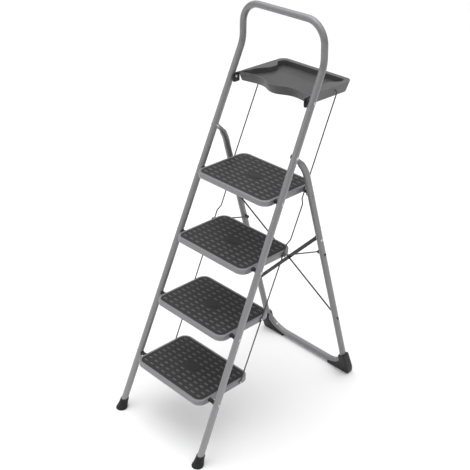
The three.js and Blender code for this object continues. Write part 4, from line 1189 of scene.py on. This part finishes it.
@dataclass(frozen=True)
class RearFrame:
    """The rear U of tube, flattened to tongues where it meets the rails, with shoes, braces and pegs."""

    bar_height: float = 18.6 * MM
    corner_radius: float = 97 * MM
    neck_below_pivot: float = 54.4 * MM
    neck_inset: float = 3 * MM
    neck_turn: float = 55 * MM
    neck_radius: float = 150 * MM
    neck_start: float = 11 * MM
    neck_end: float = 56 * MM
    neck_joins: float = 0.78
    flat_half_thickness: float = 1.4 * MM
    flat_half_width: float = 8.2 * MM
    tongue_thickness: float = 3.2 * MM
    tongue_half_width: float = 8.5 * MM
    tongue_length: float = 14 * MM
    sides: int = 36
    shoe_inner: float = 130 * MM
    shoe_toe: float = 247 * MM
    shoe_toe_radius: float = 16 * MM
    shoe_toe_height: float = 32 * MM
    shoe_height: float = 106 * MM
    shoe_slope: float = 14 * MM
    shoe_mouth: float = 60 * MM
    shoe_mouth_angles: Pair = (-50, -82)
    shoe_half_depth: float = 16.5 * MM
    shoe_wall: float = 4.6 * MM
    shoe_edge: float = 4.4 * MM
    spot_angle: float = -58
    peg_radius: float = 5.5 * MM
    peg_length: float = 7.3 * MM
    pin_collar: float = 7 * MM
    pin_tip: float = 7.4 * MM
    brace_radius: float = 3 * MM
    brace_forward: float = 2.6 * MM
    bar_width: float = 14.5 * MM
    bar_thickness: float = 3 * MM
    bar_back: float = 4 * MM
    tab_depth: float = 12 * MM

    def build(self) -> None:
        """Makes the tube, the shoes, the braces and what goes through the legs."""
        self.tube()
        for side in Side:
            self.shoe(side)
            self.spot(side)
            self.stud(f"leg_peg_{side.label}", SILVER, side, self.peg_radius, self.peg_length, 0.0)
            self.stud(f"link_pin_{side.label}", BLACK, side, self.pin_collar, 0.0, self.pin_tip)
        self.brace_rod()
        self.brace_bar()

    def pivot(self) -> Pair:
        """The fold pivot, along and forward."""
        place = joint_place("rear_fold")
        return LEGS.along(place), LEGS.ahead(place)

    def tongue_x(self) -> float:
        """The inner face of a tongue, from the middle."""
        place = joint_place("rear_fold")
        return RAIL.at(place.z).x - TUBE_RADIUS - CLEARANCE - self.tongue_thickness

    def route(self) -> Route:
        """The tube's centreline, from the left tongue round to the right one."""
        radii = (self.neck_radius, self.neck_turn, self.corner_radius)
        corners = (*self.leg_corners(Side.LEFT), *reversed(self.leg_corners(Side.RIGHT)))
        return Route(corners, (*radii, *reversed(radii)), math.radians(3))

    def leg_corners(self, side: Side) -> list[Vector]:
        """The corners of one leg's centreline, from its tongue down to the floor bar."""
        along, forward = self.pivot()
        neck = along - self.neck_below_pivot
        straight = neck - self.neck_turn
        x = self.tongue_x() + self.tongue_thickness / 2
        return [
            LEGS.point(side.value * x, along, forward),
            LEGS.point(side.value * (LEGS.half_width(neck) - self.neck_inset), neck),
            LEGS.point(side.value * LEGS.half_width(straight), straight),
            LEGS.point(side.value * LEGS.half_width(self.bar_height), self.bar_height),
        ]

    def section(self, distance: float) -> tuple[float, float, float]:
        """The tube's half sizes at a distance from its tongue.

        Args:
            distance: the distance along the tube.

        Returns:
            Half its thickness, half its width, and how far it has come from the rail to the route, 0 to 1.
        """
        t = min(1.0, (distance - self.neck_start) / (self.neck_end - self.neck_start))
        thick = mixed(self.flat_half_thickness, TUBE_RADIUS, eased(t) ** 1.1)
        wide = mixed(self.flat_half_width, TUBE_RADIUS, t**2.6)
        return thick, wide, eased((t - self.neck_joins) / (1 - self.neck_joins))

    def tube(self) -> None:
        """The bent tube, drawn down flat at its ends, with a drilled tongue at each."""
        route = self.route()
        length = route.length()
        steps = 16
        neck = [mixed(self.neck_start, self.neck_end, k / steps) for k in range(steps + 1)]
        clear = self.neck_end + 1 * MM
        between = [d for d in self.distances(route) if clear < d < length - clear]
        distances = [*neck, *between, *(length - d for d in reversed(neck))]
        stations, halves = [], []
        flush = self.tongue_x() + CLEARANCE / 2
        for distance in distances:
            point, direction = route.at(distance)
            from_end = min(distance, length - distance)
            thick, wide, share = self.section(from_end)
            x = mixed(flush + thick, abs(point.x), share)
            if from_end <= self.neck_end:
                point.x = math.copysign(x, point.x)
            stations.append((point, direction))
            halves.append((thick, wide))
        shell = Shell()
        shell.loft(swept(stations, lambda i: halves[i], self.sides))
        for side in Side:
            self.tongue(shell, side, route)
        shell.piece("rear_tube", SILVER, "rear_frame", "rear_frame")

    def distances(self, route: Route) -> list[float]:
        """How far along the route each of its stations is."""
        found, total = [], 0.0
        stations = route.stations()
        for (start, _), (end, _) in zip(stations, stations[1:]):
            found.append(total)
            total += (end - start).length
        return [*found, total]

    def tongue(self, shell: Shell, side: Side, route: Route) -> None:
        """The flat plate at one end of the tube."""
        along, forward = self.pivot()
        centre = LEGS.point(0, along, forward)
        start, _ = route.at(0)
        end, _ = route.at(self.neck_start * 2)
        down = Vector((0, end.y - start.y, end.z - start.z)).normalized()
        across = down.cross(ALONG_X)
        half, length = self.tongue_half_width, self.tongue_length
        outline = [(half * math.cos(math.pi * k / 12), -half * math.sin(math.pi * k / 12)) for k in range(13)]
        outline += [(-half, length), (half, length)]
        inner = self.tongue_x() * side.value
        soft = 0.5 * MM
        rings = []
        thick = self.tongue_thickness
        for x, inset in ((0, soft), (soft, 0), (thick - soft, 0), (thick, soft)):
            scale = (half - inset) / half
            face = centre + ALONG_X * (inner + side.value * x)
            rings.append([face + across * (a * scale) + down * (b * scale) for a, b in outline])
        shell.loft(rings)

    def shoe(self, side: Side) -> None:
        """The moulded shoe that fills the corner under a bend, with a round channel for the tube."""
        node = f"rear_shoe_{side.label}"
        shell = Shell()
        half = self.shoe_half_depth
        outline = self.shoe_outline()
        faces = [[LEGS.point(side.value * x, along, depth) for x, along in outline] for depth in (-half, half)]
        shell.loft(faces)
        made = placed(f"{node}_moulded", shell.mesh(node))
        round_edges(made, self.shoe_edge, 4, 50)
        baked(made)
        self.cut_at_floor(made.data)
        cutter = self.channel()
        channel = made.modifiers.new("channel", "BOOLEAN")
        channel.operation = "DIFFERENCE"
        channel.solver = "EXACT"
        channel.object = cutter
        baked(made)
        bpy.data.objects.remove(cutter)
        made.data.polygons.foreach_set("use_smooth", [True] * len(made.data.polygons))
        made.data.set_sharp_from_angle(angle=math.radians(30))
        settle(made, BLACK, "rear_frame", node)

    def shoe_outline(self) -> list[Pair]:
        """The right shoe's outline in the legs' plane, from its inner end round the sole and the toe."""
        collar = LEGS.half_width(self.shoe_height)
        outside = TUBE_RADIUS + self.shoe_wall
        bend_x = LEGS.half_width(self.bar_height) - self.corner_radius
        bend_up = self.bar_height + self.corner_radius
        floor = -self.shoe_half_depth
        toe_start = Vector((self.shoe_toe - self.shoe_toe_radius, floor))
        toe_end = Vector((self.shoe_toe, self.shoe_toe_height))
        toe_corner = Vector((self.shoe_toe, 0))
        points = [(self.shoe_inner, floor)]
        for k in range(9):
            t = k / 8
            point = toe_start * (1 - t) ** 2 + toe_corner * (2 * t * (1 - t)) + toe_end * t * t
            points.append((point.x, point.y))
        points.append((collar + outside, self.shoe_height))
        points.append((collar - outside, self.shoe_height - self.shoe_slope))
        points.append((collar - outside, self.shoe_mouth))
        first, last = self.shoe_mouth_angles
        for k in range(13):
            turn = math.radians(mixed(first, last, k / 12))
            across, up = self.corner_radius * math.cos(turn), self.corner_radius * math.sin(turn)
            points.append((bend_x + across, bend_up + up))
        points.append((self.shoe_inner, self.bar_height - TUBE_RADIUS / 2))
        return points

    def channel(self) -> bpy.types.Object:
        """The tube, a clearance larger, to cut a shoe's channel with."""
        shell = Shell()
        route = self.route()
        length = route.length()
        inside = [d for d in self.distances(route) if self.neck_end < d < length - self.neck_end]
        stations = [route.at(distance) for distance in inside]
        radius = TUBE_RADIUS + CLEARANCE
        shell.loft(swept(stations, lambda _: (radius, radius), self.sides))
        return placed("channel", shell.mesh("channel"))

    def cut_at_floor(self, mesh: bpy.types.Mesh) -> None:
        """Trims a mesh flat where it meets the floor."""
        work = bmesh.new()
        work.from_mesh(mesh)
        geometry = [*work.verts, *work.edges, *work.faces]
        floor = {"plane_co": (0, 0, 0), "plane_no": -ALONG_Z}
        cut = bmesh.ops.bisect_plane(work, geom=geometry, clear_outer=True, **floor)
        edges = [item for item in cut["geom_cut"] if isinstance(item, bmesh.types.BMEdge)]
        bmesh.ops.contextual_create(work, geom=edges)
        bmesh.ops.recalc_face_normals(work, faces=work.faces)
        work.to_mesh(mesh)
        work.free()

    def spot(self, side: Side) -> None:
        """The bright rivet that holds the shoe to the bend, on the tube's front."""
        turn = math.radians(self.spot_angle)
        bend_x = LEGS.half_width(self.bar_height) - self.corner_radius
        x = side.value * (bend_x + self.corner_radius * math.cos(turn))
        along = self.bar_height + self.corner_radius * (1 + math.sin(turn))
        inward = Vector((-side.value * math.cos(turn), 0, 0)) + LEGS.up * -math.sin(turn)
        centre = LEGS.point(x, along)
        shell = Shell()
        kit = Fasteners()
        rings = []
        for lift, radius in [(-1 * MM, kit.spot_radius), *kit.dome(0, kit.spot_radius, kit.spot_height, 1)]:
            rings.append(circle(centre + inward * (TUBE_RADIUS - kit.spot_sunk + lift), inward, radius, 24))
        shell.loft(rings)
        shell.piece(f"shoe_rivet_{side.label}", STEEL, "rear_frame")

    def stud(
        self, node: str, finish: Finish, side: Side, collar: float, collar_length: float, tip_length: float
    ) -> None:
        """A pin through a leg, with a collar inside the leg and a head outside it.

        Args:
            node: the node that it stands for.
            finish: what it is finished in.
            side: its side.
            collar: the collar's radius.
            collar_length: the collar's length, or 0 to reach up to the tip.
            tip_length: the length of the thin tip that carries a link, or 0 for none.
        """
        low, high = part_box(node)
        centre = (low + high) / 2
        outer = side.value * max(abs(low.x), abs(high.x)) - centre.x
        inner = side.value * min(abs(low.x), abs(high.x)) - centre.x
        leg_outer = outer - side.value * HEAD_HEIGHT
        leg_inner = leg_outer - side.value * 2 * (TUBE_RADIUS + CLEARANCE)
        shoulder = inner + side.value * tip_length if tip_length else leg_inner - side.value * collar_length
        head = Fasteners().dome(leg_outer, RIVET_HEAD_RADIUS, HEAD_HEIGHT, side.value)
        soft = side.value * 0.7 * MM
        profile = [
            (shoulder, collar * 0.5),
            (shoulder, collar - 0.7 * MM),
            (shoulder + soft, collar),
            (leg_inner - soft, collar),
            (leg_inner, collar - 0.7 * MM),
            (leg_inner, SHANK_RADIUS),
            (leg_outer, SHANK_RADIUS),
            *head,
        ]
        if tip_length:
            cap = inner + side.value * PIN_HEAD_HEIGHT
            tip = Fasteners().dome(cap, PIN_HEAD_RADIUS, PIN_HEAD_HEIGHT, -side.value)
            profile = [*reversed(tip), (cap, PIN_RADIUS), (shoulder, PIN_RADIUS), *profile[1:]]
        shell = Shell()
        shell.turned(centre, profile)
        shell.piece(f"{node}_turned", finish, "rear_frame", node)

    def brace_rod(self) -> None:
        """The thin diagonal brace, straight from outside one leg to outside the other."""
        low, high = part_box("brace_rod")
        radius = self.brace_radius
        slant = radius * math.sqrt(0.5)
        upper = Vector((low.x + slant, low.y + radius, high.z - slant))
        lower = Vector((high.x - slant, high.y - radius, low.z + slant))
        ends = []
        for end in (upper, lower):
            along = LEGS.along(Vector((0, end.y, end.z)))
            ends.append(LEGS.point(end.x, along, self.brace_forward))
        shell = Shell()
        Route(tuple(ends), ()).tube(shell, radius, 20)
        shell.piece("brace_rod_drawn", DARK, "rear_frame", "brace_rod")

    def brace_bar(self) -> None:
        """The flat diagonal brace, with a tab turned forward at each end."""
        upper, lower = (LEGS.along(middle(f"bar_rivet_{word}")) for word in ("upper", "lower"))
        face = {along: LEGS.half_width(along) - TUBE_RADIUS - CLEARANCE for along in (upper, lower)}
        right, left = Vector((face[upper], upper)), Vector((-face[lower], lower))
        run = right - left
        rise = self.bar_width / 2 * run.length / run.x
        shell = Shell()
        self.add_plate(shell, left, right, rise, self.bar_thickness)
        for end, inward in ((right, -1), (left, 1)):
            xs = sorted((end.x, end.x + inward * self.bar_thickness))
            start, stop = (Vector((x, end.y)) for x in xs)
            self.add_plate(shell, start, stop, rise, self.tab_depth)
        shell.piece("brace_bar_pressed", DARK, "rear_frame", "brace_bar", edge=0.8 * MM)

    def add_plate(self, shell: Shell, start: Vector, stop: Vector, rise: float, depth: float) -> None:
        """Adds a flat strip in the legs' plane, from one place to another.

        Args:
            shell: the mesh that it joins.
            start: its first end, across and along.
            stop: its other end.
            rise: how far it reaches above and below them.
            depth: how far forward of the bar's back it reaches.
        """
        corners = [(start, -rise), (stop, -rise), (stop, rise), (start, rise)]
        levels = (-self.bar_back, depth - self.bar_back)
        shell.loft([[LEGS.point(end.x, end.y + lift, level) for end, lift in corners] for level in levels])


# ---- tray -------------------------------------------------------------------------------------


@dataclass(frozen=True)
class Tray:
    """The tool tray: a drafted shell with a wavy front, a sunk pocket, and its hinge blocks."""

    height: float = 37 * MM
    drop: float = 16 * MM
    back_reach: float = 245 * MM
    back_draft: float = 15 * MM
    side_draft: float = 5 * MM
    front_draft: float = 13 * MM
    corner: float = 30 * MM
    wall: float = 3 * MM
    lip: float = 5 * MM
    back_rim: float = 20 * MM
    pocket: float = 22 * MM
    soft: float = 1.6 * MM
    rim_draft: float = 0.06
    wave_steps: int = 72
    shelf_back: float = 27 * MM
    shelf: tuple[Pair, ...] = (
        (9 * MM, 34 * MM),
        (17 * MM, 47 * MM),
        (19 * MM, 75 * MM),
        (35 * MM, 105 * MM),
        (48 * MM, 127 * MM),
        (48 * MM, 163 * MM),
        (23 * MM, 191 * MM),
        (19 * MM, 202 * MM),
    )
    wave: tuple[Pair, ...] = (
        (0, -2 * MM),
        (24 * MM, 2 * MM),
        (62 * MM, 19 * MM),
        (96 * MM, 23.5 * MM),
        (132 * MM, 18.5 * MM),
    )
    front_corner: float = 10 * MM
    block_corner: float = 5 * MM
    block_wide: float = 5.6 * MM
    boss: tuple[float, float, float] = (9.5 * MM, 8.8 * MM, 8 * MM)
    boss_soft: float = 0.8 * MM

    def build(self) -> None:
        """Makes the shell and the hinge blocks."""
        self.shell()
        for side in Side:
            self.hinge_block(side)

    @property
    def half_width(self) -> float:
        """Half the tray's width."""
        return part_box("tray")[1].x

    def front(self, half_width: float, offset: float) -> list[Vector]:
        """The wave of the front edge across a width, set back by an offset."""
        stretch = half_width / self.half_width
        wave = (*self.wave, (self.half_width, self.front_corner))
        half = [Vector((x * stretch, y + offset)) for x, y in wave]
        line = [Vector((-point.x, point.y)) for point in reversed(half[1:])] + half
        return [smooth_line(line, k / self.wave_steps) for k in range(self.wave_steps + 1)]

    def outline(self, inset: float, share: float, lip: float = 0.0) -> list[Vector]:
        """The shell's outline.

        Args:
            inset: how far it is drawn in.
            share: how much of the draft it has, 0 at the top to 1 at the bottom.
            lip: how far its front alone is set back.

        Returns:
            Its points, in x and y from the front pivot.
        """
        half = self.half_width - self.side_draft * share - inset
        back = self.back_reach - self.back_draft * share - inset
        radius = self.corner - inset
        points = self.front(half, self.front_draft * share + inset + lip)
        for centre, start in ((half - radius, 0), (radius - half, 90)):
            for k in range(13):
                turn = math.radians(start + 90 * k / 12)
                across, behind = radius * math.cos(turn), radius * math.sin(turn)
                points.append(Vector((centre + across, back - radius + behind)))
        return points

    def sunk(self, margin: float, share: float) -> list[Vector]:
        """The pocket's outline, with a shelf that bulges in at each side.

        Args:
            margin: how far it is grown.
            share: how far down the pocket it is, 0 at the top to 1 at the floor.

        Returns:
            Its points, in x and y from the front pivot.
        """
        draft = self.front_draft * self.pocket / self.height * share
        half = self.half_width
        right = [Vector((half - inset + margin, y)) for inset, y in self.shelf]
        right.append(Vector((half - self.shelf_back + margin, self.back_reach - self.back_rim + margin)))
        front = self.front(right[0].x, self.lip - margin + draft)
        left = [Vector((-point.x, point.y)) for point in reversed(right)]
        line = rounded([front[-1], *right, *left, front[0]], 9 * MM, 5)
        return [*front, *line[1:-1]]

    def lifted(self, outline: Sequence[Vector], height: float) -> list[Vector]:
        """An outline at a height above the front pivot, in the stool's frame."""
        pivot = joint_place("tray_fold")
        return [Vector((point.x, pivot.y + point.y, pivot.z + height)) for point in outline]

    def shell(self) -> None:
        """The moulded shell: outer wall, rim, pocket and underside."""
        top, bottom, floor = self.drop, self.drop - self.height, self.drop - self.pocket
        soft = self.soft
        quarter = [math.radians(angle) for angle in (0, 22.5, 45, 67.5, 90)]
        shell = Shell()
        outer = [
            self.lifted(self.outline(0.6 * MM, 1), bottom),
            self.lifted(self.outline(0, 0.98), bottom + 0.8 * MM),
        ]
        for t in quarter:
            inset, below = soft * (1 - math.cos(t)), 1 - math.sin(t)
            outer.append(self.lifted(self.outline(inset, self.rim_draft * below), top - soft * below))
        outer_rings = shell.loft(outer, closed=False)
        mouth, foot = [], []
        for t in quarter:
            sine, cosine = soft * (1 - math.sin(t)), soft * (1 - math.cos(t))
            mouth.append(self.lifted(self.sunk(sine, 0), top - cosine))
            foot.append(self.lifted(self.sunk(-cosine, 1), floor + sine))
        inner = [*mouth, *foot]
        inner_rings = shell.loft(inner, closed=False)
        shell.fill(outer_rings[-1], inner_rings[0])
        shell.fill(inner_rings[-1])
        hollow = [
            self.lifted(self.outline(self.wall, 1, self.lip), bottom),
            self.lifted(self.outline(self.wall, 0, self.lip), top - self.wall),
        ]
        hollow_rings = shell.loft(hollow, closed=False)
        under = [
            self.lifted(self.sunk(self.wall, 0), top - self.wall),
            self.lifted(self.sunk(self.wall, 1), floor - self.wall),
        ]
        under_rings = shell.loft(under, closed=False)
        shell.fill(outer_rings[0], hollow_rings[0])
        shell.fill(hollow_rings[-1], under_rings[0])
        shell.fill(under_rings[-1])
        shell.piece("tray_moulded", TRAY, "tray", "tray")

    def hinge_block(self, side: Side) -> None:
        """The block between the tray and the rail, with a boss round its rivet."""
        node = f"tray_spacer_{side.label}"
        low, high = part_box(node)
        pivot = joint_place("tray_fold")
        corner = self.block_corner
        outline = [
            (low.y + corner, low.z),
            (high.y, low.z),
            (high.y, high.z),
            (low.y + corner, high.z),
            (low.y, high.z - corner),
            (low.y, low.z + corner),
        ]
        line = rounded(outline, 4 * MM, 4, closed=True)
        inner, outer = sorted((abs(low.x), abs(high.x)))
        face = inner + self.block_wide
        xs = sorted((side.value * inner, side.value * face))
        shell = Shell()
        shell.loft([[Vector((x, point.x, point.y)) for point in line] for x in xs])
        reaches = (face - 1 * MM, outer - self.boss_soft, outer)
        boss = [(side.value * reach, radius) for reach, radius in zip(reaches, self.boss)]
        if side is Side.LEFT:
            boss.reverse()
        shell.turned(Vector((0, pivot.y, pivot.z)), boss, 32)
        shell.piece(f"{node}_moulded", BLACK, "tray", node, edge=1.0 * MM)


# ---- camera, floor and light ------------------------------------------------------------------


@dataclass(frozen=True)
class Studio:
    """The floor, the lights and the camera."""

    camera_place: tuple[float, float, float] = (2.23230, -2.08621, 2.39910)
    yaw: float = 46.56
    pitch: float = 28.13
    lens: float = 72.64
    shift: Pair = (-0.0147, -0.0296)
    floor_half: float = 14.0
    sky: Pair = (0.22, 1.6)
    aim_height: float = 0.7
    floor_tones: Pair = (0.85, 0.86)

    def build(self) -> None:
        """Sets up the floor, the world, the lights and the camera."""
        self.floor()
        self.world()
        self.softbox("top_light", (-0.4, 0.3, 4.2), 3.4, 60)
        self.softbox("front_light", (-2.2, -3.6, 2.8), 2.2, 14)
        self.camera()

    def floor(self) -> None:
        """A plain white floor."""
        half = self.floor_half
        mesh = bpy.data.meshes.new("studio_floor")
        corners = [(-half, -half, 0), (half, -half, 0), (half, half, 0), (-half, half, 0)]
        mesh.from_pydata(corners, [], [(0, 1, 2, 3)])
        floor = placed("studio_floor", mesh)
        sheet = NodeSheet("studio_floor")
        low, high = ((tone,) * 3 for tone in self.floor_tones)
        tone = sheet.ramp(sheet.noise(1.2), (0.3, low), (0.7, high))
        sheet.link(tone, sheet.shader.inputs["Base Color"])
        sheet.shader.inputs["Roughness"].default_value = 0.9
        sheet.shader.inputs["Specular IOR Level"].default_value = 0.1
        floor.data.materials.append(sheet.material)

    def world(self) -> None:
        """A white sky that brightens upward."""
        world = bpy.data.worlds.new("studio_sky")
        world.use_nodes = True
        tree = world.node_tree
        place = tree.nodes.new("ShaderNodeTexCoord")
        split = tree.nodes.new("ShaderNodeSeparateXYZ")
        rise = tree.nodes.new("ShaderNodeMapRange")
        tree.links.new(place.outputs["Generated"], split.inputs["Vector"])
        tree.links.new(split.outputs["Z"], rise.inputs["Value"])
        rise.inputs["To Min"].default_value, rise.inputs["To Max"].default_value = self.sky
        tree.links.new(rise.outputs["Result"], tree.nodes["Background"].inputs["Strength"])
        tree.nodes["Background"].inputs["Color"].default_value = (1.0, 1.0, 1.0, 1.0)
        bpy.context.scene.world = world
        bpy.context.scene.view_settings.view_transform = "Standard"

    def softbox(self, name: str, place: tuple[float, float, float], size: float, power: float) -> None:
        """A square area light aimed at the stool's middle.

        Args:
            name: the light's name.
            place: where it hangs.
            size: its side.
            power: its power in watts.
        """
        light = bpy.data.lights.new(name, "AREA")
        light.size = size
        light.energy = power
        lamp = placed(name, light)
        lamp.location = place
        aim = ALONG_Z * self.aim_height - Vector(place)
        lamp.rotation_euler = aim.to_track_quat("-Z", "Y").to_euler()

    def camera(self) -> None:
        """The camera, looking down at the stool from its front right."""
        data = bpy.data.cameras.new("camera")
        data.lens = self.lens
        data.sensor_width = 36.0
        data.shift_x, data.shift_y = self.shift
        data.clip_end = 50
        camera = placed("camera", data)
        camera.location = self.camera_place
        camera.rotation_euler = (math.radians(90 - self.pitch), 0, math.radians(self.yaw))
        bpy.context.scene.camera = camera


def main() -> None:
    """Builds the studio and then the stool, sub-assembly by sub-assembly."""
    logging.basicConfig(level=logging.INFO, format="%(name)s %(message)s")
    treads = [Tread(number) for number in STEP_NUMBERS]
    for part in (Studio(), FrontFrame(), *treads, RearFrame(), Linkage(), Tray(), Fasteners()):
        LOG.info("building %s", type(part).__name__)
        part.build()


if __name__ == "__main__":
    main()
